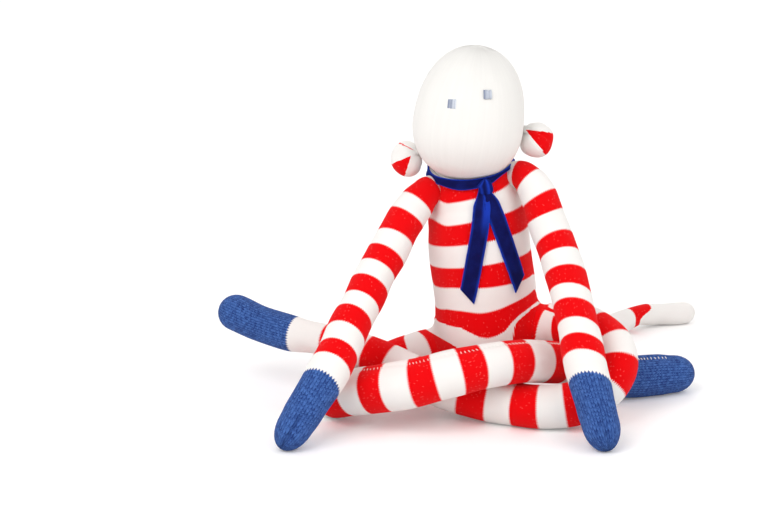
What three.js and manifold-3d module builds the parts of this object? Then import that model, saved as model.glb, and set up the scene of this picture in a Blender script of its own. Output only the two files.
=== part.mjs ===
// A knitted sock monkey that sits with its legs crossed, in millimetres, +Z up.
// The origin is the point of the floor under the seat. The monkey faces -Y.
import * as THREE from "three";
import { mergeVertices } from "three/addons/utils/BufferGeometryUtils.js";
import Module from "manifold-3d";

const wasm = await Module();
wasm.setup();

// Cloth, thread and clearances
const CLOTH = 1.2; // thickness of the knit
const GAP = 0.3; // clearance between pieces that touch
const FLAT = 0.5; // depth of the flat that a soft form rests on
const THREAD = 0.6; // radius of a sewing thread
const SEWN_HOLE = 5; // radius of the hole that each closed end is stuffed through
const BEND_ALLOWANCE = 10; // degrees that the curve of a limb uses up at its joint

// How finely the soft forms are built
const RING_SPACING = 18;
const LIMB_SIDES = 10;
const TORSO_SIDES = 16;
const TAIL_SIDES = 8;
const LINING_SIDES = 8;
const CAP_RINGS = 3;
const SEAT_RINGS = 8;
const SOCKET_STEPS = 16;
const SHOULDER_STEPS = 12;
const HEAD_SOCKET_STEPS = 24;
const HEAD_SIDES = { outside: 18, lining: 10 };
const HEAD_RINGS = { outside: 6, lining: 5 };
const EAR_SIDES = { outside: 10, lining: 8 };
const EAR_RINGS = { outside: 6, lining: 5 };
const RIBBON_TAIL_STEPS = 12;
const LINE_STEPS = 200;

// Head: round below its widest level, egg shaped above it
const HEAD_RADIUS = 38.5;
const HEAD_CROWN = 57;
const CROWN_FULLNESS = 2.4; // 2 is an ellipse, more is fuller
const HEAD_CENTRE = new THREE.Vector3(-16.8, 4, 192);
const HEAD_LEAN = 5; // degrees towards the monkey's left

// Face and ears
const EYE_SIZE = 7;
const EYE_THICKNESS = 0.8;
const EYE_SPACING = 23.5;
const EYE_LEVEL = 26.5; // above the widest level
const FACE_ROLL = 15; // degrees, the monkey's left eye is the higher one
const EAR_RADIUS = 12;
const EAR_FLATNESS = 0.5; // thickness over width
const EAR_ROOT = 2.2; // radius of the gathered root
const EAR_RED_DROP = 3; // how far below its root the right ear turns red
// Each ear's root, seen from the head's centre, and the way its disc points
const EAR_PLACES = {
  right: { root: [-34.3, 6, -20.5], way: [-0.82, 0.45, -0.35] },
  left: { root: [39.7, 4, -12.5], way: [0.87, 0.45, 0.05] },
};

// Torso: a stuffed tube on a round seat, each point is x, y, z and radius
const SEAT_RADIUS = 34.5;
const SEAT_CENTRE = new THREE.Vector3(0, 0, SEAT_RADIUS - FLAT);
const FOLD_BACK = 35; // degrees that the torso leans back over the crossed legs
const TORSO_POINTS = [
  [...SEAT_CENTRE.toArray(), SEAT_RADIUS],
  [0, 0, 46, 34.9],
  [-4, 4, 70, 35.5],
  [-6, 5.5, 90, 35.2],
  [-8.5, 7, 108, 34.8],
  [-10.5, 8.5, 124, 33.5],
  [-12.5, 10, 139, 31],
  [-14, 11, 152, 28.5],
  [-15, 11.5, 166, 27.5],
];

// Arms: from the shoulder to the fingertips
const RIGHT_ARM_POINTS = [
  [-41, 0, 138, 10],
  [-50, -8, 133, 10.8],
  [-57, -16, 127.5, 12.2],
  [-69, -31, 114, 13.4],
  [-79, -45, 101, 13.5],
  [-88, -59, 86, 13.7],
  [-98, -73, 70, 14.1],
  [-108, -87, 52, 14.6],
  [-117, -98, 37, 14.3],
  [-126, -107, 23.5, 13],
  [-137, -116, 8.5, 9],
];
const LEFT_ARM_POINTS = [
  [15.5, 5, 147.5, 9.5],
  [22, -2, 143.5, 10.2],
  [28, -10, 139, 11.6],
  [36, -22, 129, 13.2],
  [43, -35, 116, 13.7],
  [48, -47, 102.5, 13.7],
  [52, -59, 88, 13.8],
  [56, -72, 72, 13.8],
  [59, -84, 57, 14.2],
  [63, -96, 41, 14.2],
  [66, -107, 25, 13.3],
  [71, -118, 8.5, 9],
];
const ELBOW_STATION = 96; // along the arm from the shoulder
const HAND_STATION = 155; // where the blue hand starts
const ELBOW_BEND = 60; // degrees
const ARM_RAISE = 55; // degrees

// Legs: from the hip, round the knee and across to the toes
const LEFT_LEG_POINTS = [
  [20, 12, 34, 15],
  [38, 1, 49, 14.8],
  [52, -13, 55.5, 14.8],
  [68, -32, 57, 15],
  [80, -47, 50, 15.2],
  [83, -59, 40, 15.3],
  [74, -69, 27, 15.2],
  [56, -73, 18, 15.2],
  [32, -71, 14.7, 15.1],
  [5, -62, 15, 14.8],
  [-26, -53, 19, 14.5],
  [-49, -45, 25.5, 13.8],
  [-73, -33, 34.5, 12.6],
  [-98, -21, 41, 11.8],
  [-120, -10, 43, 11.2],
  [-140, 0, 44, 12.2],
  [-160, 12, 46, 12.2],
  [-173, 21, 49, 10.5],
];
const RIGHT_LEG_POINTS = [
  [-20, 10, 25, 14.5],
  [-42, 15, 23, 14.5],
  [-59, 14, 20.5, 14.4],
  [-77, 7.5, 17, 14.4],
  [-94, -4, 14.8, 14.6],
  [-107, -20, 14.3, 14.8],
  [-111, -37, 14.6, 15],
  [-106, -53, 17, 15.3],
  [-91, -67, 24, 16.1],
  [-70, -78, 31, 16.4],
  [-50, -83, 36.5, 16.3],
  [-30, -83, 42, 16],
  [-7, -77, 45.5, 15.3],
  [18, -64, 44.5, 14.9],
  [39, -47, 38, 14.3],
  [59, -29, 28.5, 13.3],
  [79, -17, 18, 13],
  [100, -9, 13.2, 13.5],
  [118, -3, 12.6, 13.1],
  [133, 2, 10, 10],
];
const HIP_LENGTH = 30; // of a leg, that lies clear of the other leg
const LEFT_KNEE_STATION = 98;
const RIGHT_KNEE_STATION = 112;
const LEFT_FOOT_STATION = 346;
const RIGHT_FOOT_STATION = 364;
const FOOT_BEND = 20; // degrees each way

// Tail: sewn on low at the back, its line runs from the root
const TAIL_DIRECTION = new THREE.Vector3(15, 36, -24).normalize();
const TAIL_ROOT_RADIUS = 8.5;
const TAIL_POINTS = [
  [32, 62, 9, 8.8],
  [60, 92, 8.6, 8.6],
  [88, 117, 8.6, 8.5],
  [104, 131, 9.5, 8],
  [114, 139, 11.5, 7.4],
  [125, 147, 9.5, 8],
  [139, 152, 8, 8.2],
  [150, 155, 8, 7.8],
];

// The stretch of the tail that is red
const TAIL_RED = { from: 148, to: 164 };

// Thread that closes the neck
const NECK_THREAD_RADIUS = 25;

// Velvet ribbon round the neck
const RIBBON_WIDTH = 12;
const COLLAR_HEIGHT = 7.5; // the loop is creased to less than the ribbon's width
const RIBBON_THICKNESS = 0.8;
const COLLAR_RADIUS = 29.6; // inside of the loop
const COLLAR_CENTRE = new THREE.Vector3(-14.8, 10.5, 161);
const COLLAR_DIP = 9; // degrees that its front hangs down
const COLLAR_ROLL = 8; // degrees, lower at the monkey's right
const COLLAR_STEPS = 40;
const KNOT_SIZE = [9, 5, 10];
const KNOT_TURN = 18; // degrees round the collar, towards the monkey's left
const RIBBON_TAIL_TOP = 143; // height where both tails leave the knot
const RIBBON_TAIL_WAIST = 5; // width where the knot gathers a tail
const RIBBON_TAIL_FLARE = 14; // length over which a tail opens to its full width
// Degrees round the belly at the top and at the end, and the height of the end
const RIBBON_TAILS = {
  right: { top: 9, end: -20, foot: 81 },
  left: { top: 27, end: 44, foot: 87 },
};

// Ladder stitches, and the hand-sewn seams that show: where along a leg and which way they face
const STITCH = { pitch: 5, rise: 1.4, radius: 0.5 };
const SEAMS = {
  right_leg_seam_thread: { side: "right", from: 132, to: 312, way: [0, -0.26, 0.97] },
  right_foot_seam_thread: { side: "right", from: 378, to: 402, way: [0, -0.2, 1] },
  left_leg_seam_thread: { side: "left", from: 130, to: 190, way: [0, 1, 0.4] },
};

// Width of the knitted rings, and how much of the first one lies before the start
const STRIPES = {
  torso: { pitch: 15, offset: 3 },
  arm: { pitch: 13, offset: 4 },
  leg: { pitch: 16.5, offset: 5 },
};

// Colours
const WHITE = "#f4f0eb";
const RED = "#f2101a";
const BLUE = "#34569a";
const NAVY = "#0b1560";
const EYE_BLUE = "#9fb0cc";
const STUFFING = "#f8f7f3";

const UP = new THREE.Vector3(0, 0, 1);
const DOWN = new THREE.Vector3(0, 0, -1);
const SIDEWAYS = new THREE.Vector3(1, 0, 0);
const monkey = new THREE.Group();

/** A closed three.js geometry as a solid that can be cut and joined. */
function solidOf(geometry) {
  geometry.deleteAttribute("normal");
  geometry.deleteAttribute("uv");
  const merged = mergeVertices(geometry, 1e-4);
  const vertProperties = merged.attributes.position.array;
  const triVerts = Uint32Array.from(merged.index.array);
  return new wasm.Manifold(new wasm.Mesh({ numProp: 3, vertProperties, triVerts }));
}

/** A cut solid as a three.js geometry, without the slivers that a cut may leave loose. */
function geometryOf(solid) {
  const bodies = solid.decompose().sort((a, b) => b.volume() - a.volume());
  const mesh = bodies[0].getMesh();
  const geometry = new THREE.BufferGeometry();
  geometry.setAttribute("position", new THREE.BufferAttribute(mesh.vertProperties, 3));
  geometry.setIndex(new THREE.BufferAttribute(mesh.triVerts, 1));
  return geometry;
}

/** Rings of points joined to a closed skin, with a point at each end. */
function lofted(rings, firstPole, lastPole) {
  const sides = rings[0].length;
  const points = [firstPole, ...rings.flat(), lastPole];
  const at = (ring, side) => 1 + ring * sides + (side % sides);
  const index = [];
  for (let side = 0; side < sides; side++) {
    index.push(0, at(0, side + 1), at(0, side));
    index.push(points.length - 1, at(rings.length - 1, side), at(rings.length - 1, side + 1));
  }
  for (let ring = 0; ring + 1 < rings.length; ring++) {
    for (let side = 0; side < sides; side++) {
      const [a, b] = [at(ring, side), at(ring, side + 1)];
      const [c, d] = [at(ring + 1, side), at(ring + 1, side + 1)];
      index.push(a, b, d, a, d, c);
    }
  }
  const geometry = new THREE.BufferGeometry().setFromPoints(points);
  geometry.setIndex(index);
  return solidOf(geometry);
}

/** The points of a ring round a centre, in the plane of two unit vectors. */
function ringPoints(centre, across, along, width, height, sides) {
  return Array.from({ length: sides }, (_, side) => {
    const angle = (2 * Math.PI * side) / sides;
    return centre
      .clone()
      .addScaledVector(across, width * Math.cos(angle))
      .addScaledVector(along, height * Math.sin(angle));
  });
}

/**
 * A stuffed tube: a smooth line through hand-set points, with a girth at each. A corner of each
 * ring faces one way, which is down where the tube lies on the floor.
 */
class Form {
  constructor(points, facing = DOWN) {
    this.facing = facing;
    const line = points.map(([x, y, z]) => new THREE.Vector3(x, y, z));
    this.curve = new THREE.CatmullRomCurve3(line, false, "centripetal");
    this.girths = points.map((point) => point[3]);
    this.length = this.curve.getLength();
  }

  radiusAt(station) {
    const share = THREE.MathUtils.clamp(station / this.length, 0, 1);
    const place = this.curve.getUtoTmapping(share) * (this.girths.length - 1);
    const before = Math.min(Math.floor(place), this.girths.length - 2);
    const ease = THREE.MathUtils.smoothstep(place - before, 0, 1);
    return THREE.MathUtils.lerp(this.girths[before], this.girths[before + 1], ease);
  }

  /** Centre, direction and the two directions across the tube at a station. */
  frameAt(station) {
    const share = THREE.MathUtils.clamp(station / this.length, 0, 1);
    const centre = this.curve.getPointAt(share);
    const tangent = this.curve.getTangentAt(share);
    const across = this.facing.clone();
    across.addScaledVector(tangent, -across.dot(tangent)).normalize();
    const along = new THREE.Vector3().crossVectors(tangent, across);
    return { centre, tangent, across, along };
  }

  /** A point of the surface, `lift` outside it, with the way out. */
  surfaceAt(station, angle, lift = 0) {
    const { centre, across, along } = this.frameAt(station);
    const out = across.multiplyScalar(Math.cos(angle)).addScaledVector(along, Math.sin(angle));
    return { point: centre.addScaledVector(out, this.radiusAt(station) + lift), out };
  }

  /** The angle round the tube that faces a given way. */
  angleTowards(station, way) {
    const { across, along } = this.frameAt(station);
    return Math.atan2(way.dot(along), way.dot(across));
  }

  /** The station of the line's point nearest to a place. */
  nearestStation(place) {
    this.line ??= this.curve.getSpacedPoints(LINE_STEPS);
    let best = 0;
    this.line.forEach((point, i) => {
      const nearer = point.distanceToSquared(place) < this.line[best].distanceToSquared(place);
      if (nearer) best = i;
    });
    return (best / LINE_STEPS) * this.length;
  }

  /** Where a tube has its rings: both ends, the form's stops and even steps along the form. */
  ringStations(from, to) {
    const count = Math.floor(to / RING_SPACING);
    const regular = Array.from({ length: count }, (_, i) => (i + 1) * RING_SPACING);
    const apart = RING_SPACING / 4;
    const stops = (this.stops ?? []).filter((stop) => stop > from + apart && stop < to - apart);
    const near = (station) => [from, to, ...stops].some((stop) => Math.abs(stop - station) < apart);
    const between = regular.filter((station) => station > from && station < to && !near(station));
    return [from, ...between, ...stops, to].sort((a, b) => a - b);
  }

  /**
   * The closed tube between two stations. A round end is a half ball, a flat one is square to the
   * line, and an open one runs on past its station, to leave a hole where it is cut out of a skin.
   */
  tube({ from = 0, to = this.length, inset = 0, start = "round", end = "round", lining = false }) {
    const sides = lining ? LINING_SIDES : this.sides ?? LIMB_SIDES;
    const rings = [];
    const ring = (frame, offset, radius) => {
      const centre = frame.centre.clone().addScaledVector(frame.tangent, offset);
      rings.push(ringPoints(centre, frame.across, frame.along, radius, radius, sides));
    };
    const cap = (station, kind, way) => {
      const frame = this.frameAt(station);
      const radius = this.radiusAt(station) - inset;
      const capRings = lining ? CAP_RINGS : this.capRings ?? CAP_RINGS;
      const steps = Array.from({ length: capRings - 1 }, (_, i) => i + 1);
      if (way < 0) steps.reverse();
      for (const step of kind === "round" ? steps : []) {
        const angle = (Math.PI / 2) * (step / capRings);
        ring(frame, way * radius * Math.sin(angle), radius * Math.cos(angle));
      }
      if (kind === "open") ring(frame, way * 2 * CLOTH, radius);
      const reach = { round: radius, flat: 0, open: 2 * CLOTH }[kind];
      return frame.centre.clone().addScaledVector(frame.tangent, way * reach);
    };
    const firstPole = cap(from, start, -1);
    for (const station of this.ringStations(from, to)) {
      ring(this.frameAt(station), 0, this.radiusAt(station) - inset);
    }
    const lastPole = cap(to, end, 1);
    return lofted(rings, firstPole, lastPole);
  }
}

/** The room that a ball of this radius turns in: its flat faces lie on the radius. */
function ball(centre, radius, steps = SOCKET_STEPS) {
  const corner = radius / Math.cos(Math.PI / steps) ** 2;
  const geometry = new THREE.SphereGeometry(corner, steps, steps / 2);
  geometry.translate(...centre.toArray());
  return solidOf(geometry);
}

/** A short round bar from a point, along a direction. */
function bar(start, direction, length, radius) {
  const geometry = new THREE.CylinderGeometry(radius, radius, length, 8);
  const turn = new THREE.Quaternion().setFromUnitVectors(new THREE.Vector3(0, 1, 0), direction);
  geometry.translate(0, length / 2, 0).applyQuaternion(turn).translate(...start.toArray());
  return solidOf(geometry);
}

/** Everything under the floor, to cut the flats that the monkey rests on. */
function underFloor() {
  const [size, depth] = [600, 40];
  const geometry = new THREE.BoxGeometry(size, size, depth);
  geometry.translate(0, 0, -depth / 2);
  return solidOf(geometry);
}
const FLOOR = underFloor();

/** A solid turned about an axis through a point, by degrees. */
function turned(solid, pivot, axis, degrees) {
  const matrix = new THREE.Matrix4()
    .makeTranslation(...pivot.toArray())
    .multiply(new THREE.Matrix4().makeRotationAxis(axis, THREE.MathUtils.degToRad(degrees)))
    .multiply(new THREE.Matrix4().makeTranslation(...pivot.clone().negate().toArray()));
  return solid.transform(matrix.elements);
}

/** Adds a named mesh, plain or with a colour for each face. */
function addMesh(name, geometry, colour, roughness, colourOf = null) {
  const shaped = colourOf ? geometry.toNonIndexed() : geometry;
  if (colourOf) paint(shaped, colourOf);
  shaped.computeVertexNormals();
  const look = colourOf ? { vertexColors: true } : { color: colour };
  const material = new THREE.MeshStandardMaterial({ ...look, roughness, metalness: 0 });
  const mesh = new THREE.Mesh(shaped, material);
  mesh.name = name;
  monkey.add(mesh);
}

/** Gives each face the colour of its middle. */
function paint(geometry, colourOf) {
  const position = geometry.attributes.position;
  const colours = [];
  const corner = new THREE.Vector3();
  for (let face = 0; face < position.count; face += 3) {
    const middle = new THREE.Vector3();
    for (let i = 0; i < 3; i++) middle.add(corner.fromBufferAttribute(position, face + i));
    const { r, g, b } = new THREE.Color(colourOf(middle.divideScalar(3)));
    for (let i = 0; i < 3; i++) colours.push(r, g, b);
  }
  geometry.setAttribute("color", new THREE.Float32BufferAttribute(colours, 3));
}

/** Red and white rings of one pitch along a form. */
function striped(form, { pitch, offset }) {
  return (place) => {
    const ring = Math.floor((form.nearestStation(place) + offset) / pitch);
    return ring % 2 === 0 ? RED : WHITE;
  };
}

/** How far short of a joint's ball a tube ends, so that the next one can bend by an angle. */
function rimHeight(radius, degrees) {
  return radius * Math.tan(THREE.MathUtils.degToRad((degrees + BEND_ALLOWANCE) / 2)) + GAP;
}

// Joint points and the directions that the limbs turn about
const torso = new Form(TORSO_POINTS, SIDEWAYS);
torso.sides = TORSO_SIDES;
torso.capRings = SEAT_RINGS;
const arms = { right: new Form(RIGHT_ARM_POINTS), left: new Form(LEFT_ARM_POINTS) };
// One corner round from straight down, which does not swing where the left knee turns steeply
const besideDown = new THREE.Vector3(0, Math.tan((2 * Math.PI) / LIMB_SIDES), -1).normalize();
const legs = { right: new Form(RIGHT_LEG_POINTS), left: new Form(LEFT_LEG_POINTS, besideDown) };
const kneeStation = { right: RIGHT_KNEE_STATION, left: LEFT_KNEE_STATION };
const footStation = { right: RIGHT_FOOT_STATION, left: LEFT_FOOT_STATION };
for (const arm of Object.values(arms)) arm.stops = [ELBOW_STATION, HAND_STATION];
for (const [side, leg] of Object.entries(legs)) leg.stops = [kneeStation[side], footStation[side]];
const FOLD_AXIS = new THREE.Vector3(-1, 0, 0);

/** The head's outline from its lowest point to its crown, as radius and height. */
function headProfile(inset, steps) {
  const profile = [];
  const radius = HEAD_RADIUS - inset;
  const crown = HEAD_CROWN - inset;
  for (let i = 0; i <= steps; i++) {
    const angle = (-Math.PI / 2) * (1 - i / steps);
    profile.push(new THREE.Vector2(radius * Math.cos(angle), radius * Math.sin(angle)));
  }
  for (let i = 1; i <= steps; i++) {
    const height = crown * Math.sin((Math.PI / 2) * (i / steps));
    profile.push(new THREE.Vector2(radius * crownShare(height / crown), height));
  }
  profile[0].x = 0;
  profile[profile.length - 1].x = 0;
  return profile;
}

/** The crown's radius at a share of its height, as a share of the full radius. */
function crownShare(share) {
  return Math.pow(Math.max(0, 1 - Math.pow(share, CROWN_FULLNESS)), 1 / CROWN_FULLNESS);
}

/** Places a geometry or a group as the head stands: its height is local +Z. */
const headPlacement = new THREE.Matrix4()
  .makeTranslation(...HEAD_CENTRE.toArray())
  .multiply(new THREE.Matrix4().makeRotationY(THREE.MathUtils.degToRad(HEAD_LEAN)));

function headSolid(inset, steps, sides) {
  const geometry = new THREE.LatheGeometry(headProfile(inset, steps), sides);
  geometry.rotateX(Math.PI / 2).applyMatrix4(headPlacement);
  return solidOf(geometry);
}

/** The way from the neck up to the head, which the head turns about. */
const neckTop = new THREE.Vector3(-14, 11, 152);
const neckAxis = HEAD_CENTRE.clone().sub(neckTop).normalize();

function buildHead() {
  const hole = bar(HEAD_CENTRE, neckAxis.clone().negate(), HEAD_RADIUS + CLOTH, SEWN_HOLE);
  const outside = headSolid(0, HEAD_RINGS.outside, HEAD_SIDES.outside);
  const inside = (inset) => headSolid(inset, HEAD_RINGS.lining, HEAD_SIDES.lining);
  addMesh("head_skin", geometryOf(outside.subtract(inside(CLOTH)).subtract(hole)), WHITE, 0.9);
  addMesh("head_stuffing", geometryOf(inside(CLOTH + GAP)), STUFFING, 1);
}

/** Embroidered squares that lie on the front of the head. */
function buildEyes() {
  const roll = THREE.MathUtils.degToRad(FACE_ROLL);
  for (const [side, way] of [["right", -1], ["left", 1]]) {
    const across = (way * EYE_SPACING * Math.cos(roll)) / 2;
    const height = EYE_LEVEL + (way * EYE_SPACING * Math.sin(roll)) / 2;
    const radius = HEAD_RADIUS * crownShare(height / HEAD_CROWN);
    const step = 0.5;
    const above = HEAD_RADIUS * crownShare((height + step) / HEAD_CROWN);
    const slope = Math.atan2(radius - above, step);
    const turn = Math.asin(across / radius);
    const geometry = new THREE.BoxGeometry(EYE_SIZE, EYE_THICKNESS, EYE_SIZE);
    const bulge = (EYE_SIZE * EYE_SIZE) / (6 * HEAD_RADIUS);
    geometry.rotateY(-roll).translate(0, -EYE_THICKNESS / 2 - GAP - bulge / 2, 0).rotateX(-slope);
    geometry.translate(0, -radius, 0).rotateZ(turn).translate(0, 0, height);
    geometry.applyMatrix4(headPlacement);
    addMesh(side + "_eye", geometry, EYE_BLUE, 0.6);
  }
}

/** A round disc that springs from a small gathered root at its edge. */
function earSolid(root, way, inset, layer, openRoot) {
  const [sides, steps] = [EAR_SIDES[layer], EAR_RINGS[layer]];
  const upright = UP.clone().addScaledVector(way, -UP.dot(way)).normalize();
  const facing = new THREE.Vector3().crossVectors(way, upright);
  const radius = EAR_RADIUS - inset;
  const rootRadius = EAR_ROOT - inset;
  const firstAngle = Math.asin(EAR_ROOT / EAR_RADIUS);
  const rings = [];
  const ring = (offset, width, thickness) => {
    const centre = root.clone().addScaledVector(way, offset);
    rings.push(ringPoints(centre, upright, facing, width, thickness, sides));
  };
  const reach = openRoot ? EAR_ROOT + GAP : rootRadius;
  ring(-reach * (openRoot ? 1 : 0.7), rootRadius * (openRoot ? 1 : 0.7), rootRadius * (openRoot ? 1 : 0.7));
  ring(0, rootRadius, rootRadius);
  for (let i = 1; i <= steps; i++) {
    const angle = firstAngle + (Math.PI - firstAngle) * (i / (steps + 1));
    const width = radius * Math.sin(angle);
    const thickness = Math.max(rootRadius, width * EAR_FLATNESS - inset * (1 - EAR_FLATNESS));
    ring(EAR_RADIUS - radius * Math.cos(angle), width, Math.min(width, thickness));
  }
  const firstPole = root.clone().addScaledVector(way, -reach - (openRoot ? 0.5 : 0));
  const lastPole = root.clone().addScaledVector(way, EAR_RADIUS + radius);
  return lofted(rings, firstPole, lastPole);
}

/** The middle of an ear's root, which rests on the head. */
function earRoot(side) {
  const out = new THREE.Vector3(...EAR_PLACES[side].root).normalize();
  return HEAD_CENTRE.clone().addScaledVector(out, HEAD_RADIUS + EAR_ROOT);
}

function buildEars() {
  for (const [side, { way }] of Object.entries(EAR_PLACES)) {
    const rootPoint = earRoot(side);
    const direction = new THREE.Vector3(...way).normalize();
    const outer = earSolid(rootPoint, direction, 0, "outside", false);
    const skin = outer.subtract(earSolid(rootPoint, direction, CLOTH, "lining", true));
    const stuffing = earSolid(rootPoint, direction, CLOTH + GAP, "lining", false);
    const isRed = (place) => side === "right" && place.z < rootPoint.z - EAR_RED_DROP;
    const colourOf = (place) => (isRed(place) ? RED : WHITE);
    addMesh(side + "_ear_skin", geometryOf(skin), WHITE, 0.9, colourOf);
    addMesh(side + "_ear_stuffing", geometryOf(stuffing), STUFFING, 1);
    const tie = new THREE.TorusGeometry(EAR_ROOT + THREAD + GAP, THREAD * 0.7, 5, 14);
    tie.applyQuaternion(new THREE.Quaternion().setFromUnitVectors(UP, direction));
    tie.translate(...rootPoint.toArray());
    addMesh(side + "_ear_gathering_thread", geometryOf(solidOf(tie).subtract(outer)), WHITE, 0.8);
  }
}

/** The ring of thread that closes the neck, hidden under the ribbon. */
function neckThread(extra) {
  const away = HEAD_RADIUS + GAP + THREAD;
  const drop = Math.sqrt(away ** 2 - NECK_THREAD_RADIUS ** 2);
  const geometry = new THREE.TorusGeometry(NECK_THREAD_RADIUS, THREAD + extra, 6, 32);
  geometry.applyQuaternion(new THREE.Quaternion().setFromUnitVectors(UP, neckAxis));
  const centre = HEAD_CENTRE.clone().addScaledVector(neckAxis, -drop);
  geometry.translate(...centre.toArray());
  return solidOf(geometry);
}

/** The ribbon's loop as a flat band, wider by `extra` on every side. */
function collarSolid(extra) {
  const inner = COLLAR_RADIUS - extra;
  const outer = COLLAR_RADIUS + RIBBON_THICKNESS + extra;
  const half = COLLAR_HEIGHT / 2 + extra;
  const section = [[inner, -half], [outer, -half], [outer, half], [inner, half], [inner, -half]];
  const profile = section.map(([x, y]) => new THREE.Vector2(x, y));
  const geometry = new THREE.LatheGeometry(profile, COLLAR_STEPS);
  geometry.rotateX(Math.PI / 2).applyMatrix4(collarPlacement());
  return solidOf(geometry);
}

function collarPlacement() {
  const dip = new THREE.Matrix4().makeRotationX(THREE.MathUtils.degToRad(COLLAR_DIP));
  const roll = new THREE.Matrix4().makeRotationY(THREE.MathUtils.degToRad(-COLLAR_ROLL));
  return new THREE.Matrix4().makeTranslation(...COLLAR_CENTRE.toArray()).multiply(roll).multiply(dip);
}

/** The torso's outside, grown or shrunk, without its flat. */
const torsoSolid = (inset, lining, end = "flat") => torso.tube({ inset, lining, end });

/** The room that the torso takes as it leans back, with a clearance. */
function torsoSweep() {
  const outside = torsoSolid(-GAP, false);
  const turns = [0, 0.25, 0.5, 0.75, 1].map((share) => share * FOLD_BACK);
  const torsos = turns.map((turn) => turned(outside, SEAT_CENTRE, FOLD_AXIS, turn));
  return wasm.Manifold.union([...torsos, ball(SEAT_CENTRE, SEAT_RADIUS + GAP)]);
}

/** The level way that an arm turns about as it is raised in its own upright plane. */
function raiseAxis(arm) {
  const way = arm.frameAt(arm.length).centre.sub(arm.frameAt(0).centre);
  return way.cross(UP).normalize();
}

/** The room in the torso's sides for the roots of the arms, hanging and raised. */
function shoulderRoom() {
  const rooms = Object.values(arms).flatMap((arm) => {
    const { centre } = arm.frameAt(0);
    const root = arm.tube({ to: 3 * arm.girths[0], inset: -GAP });
    const turns = [0, 0.33, 0.67, 1].map((share) => share * ARM_RAISE);
    const raised = turns.map((turn) => turned(root, centre, raiseAxis(arm), turn));
    return [...raised, ball(centre, arm.girths[0] + GAP, SHOULDER_STEPS)];
  });
  return wasm.Manifold.union(rooms);
}

function buildTorso() {
  const headRoom = ball(HEAD_CENTRE, HEAD_RADIUS + GAP, HEAD_SOCKET_STEPS);
  const room = headRoom.add(shoulderRoom()).add(collarSolid(GAP)).add(neckThread(GAP)).add(FLOOR);
  const lining = torsoSolid(CLOTH, true, "open");
  const skin = torsoSolid(0, false).subtract(lining).subtract(room);
  addMesh("torso_skin", geometryOf(skin), RED, 0.9, striped(torso, STRIPES.torso));
  const stuffing = torsoSolid(CLOTH + GAP, true).subtract(room);
  addMesh("torso_stuffing", geometryOf(stuffing), STUFFING, 1);
  addMesh("neck_seam_thread", geometryOf(neckThread(0)), WHITE, 0.8);
}

/** A hole through the half ball that closes a limb's root. */
function rootHole(form, station) {
  const { centre, tangent } = form.frameAt(station);
  const radius = form.radiusAt(station);
  return bar(centre, tangent.clone().negate(), radius + CLOTH, SEWN_HOLE);
}

/** The skin of one stretch of a limb, with its lining cut out. */
function skinOf(form, stretch, lining) {
  return form.tube(stretch).subtract(form.tube({ ...stretch, ...lining, inset: CLOTH, lining: true }));
}

function buildArms() {
  for (const [side, arm] of Object.entries(arms)) {
    const elbow = ELBOW_STATION;
    const rim = elbow - rimHeight(arm.radiusAt(elbow), ELBOW_BEND);
    const elbowRoom = ball(arm.frameAt(elbow).centre, arm.radiusAt(elbow) + GAP);
    const stripes = striped(arm, STRIPES.arm);
    const upper = { to: rim, end: "flat" };
    const fore = { from: elbow, to: HAND_STATION, end: "flat" };
    const hand = { from: HAND_STATION + GAP, start: "flat" };
    const upperSkin = skinOf(arm, upper, { end: "open" })
      .subtract(elbowRoom)
      .subtract(rootHole(arm, 0));
    const foreSkin = skinOf(arm, fore, { end: "open" }).subtract(rootHole(arm, elbow));
    const handSkin = skinOf(arm, hand, { start: "open" }).subtract(FLOOR);
    addMesh(side + "_upper_arm", geometryOf(upperSkin), RED, 0.9, stripes);
    addMesh(side + "_forearm", geometryOf(foreSkin), RED, 0.9, stripes);
    addMesh(side + "_hand", geometryOf(handSkin), BLUE, 0.9);
    const inside = { inset: CLOTH + GAP, lining: true };
    const upperStuffing = arm.tube({ ...upper, ...inside }).subtract(elbowRoom);
    const foreStuffing = arm.tube({ ...inside, from: elbow }).subtract(FLOOR);
    addMesh(side + "_upper_arm_stuffing", geometryOf(upperStuffing), STUFFING, 1);
    addMesh(side + "_forearm_stuffing", geometryOf(foreStuffing), STUFFING, 1);
  }
}

/** A ladder stitch: one thread that steps from side to side along a limb's seam. */
function ladderThread(form, from, to, way) {
  const { pitch, rise, radius } = STITCH;
  const count = Math.floor((to - from) / pitch);
  const points = [];
  for (let i = 0; i <= 2 * count; i++) {
    const station = from + (i * pitch) / 2;
    const angle = form.angleTowards(station, way);
    const swing = ((i % 4 < 2 ? 1 : -1) * rise) / form.radiusAt(station);
    points.push(form.surfaceAt(station, angle + swing, radius + GAP).point);
  }
  const line = new THREE.CatmullRomCurve3(points, false, "catmullrom", 0);
  const section = new THREE.Shape();
  const sides = 3;
  for (let i = 0; i < sides; i++) {
    const angle = (2 * Math.PI * i) / sides;
    const [x, y] = [radius * Math.cos(angle), radius * Math.sin(angle)];
    if (i) section.lineTo(x, y);
    else section.moveTo(x, y);
  }
  return new THREE.ExtrudeGeometry(section, { steps: 2 * count, extrudePath: line, bevelEnabled: false });
}

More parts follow.
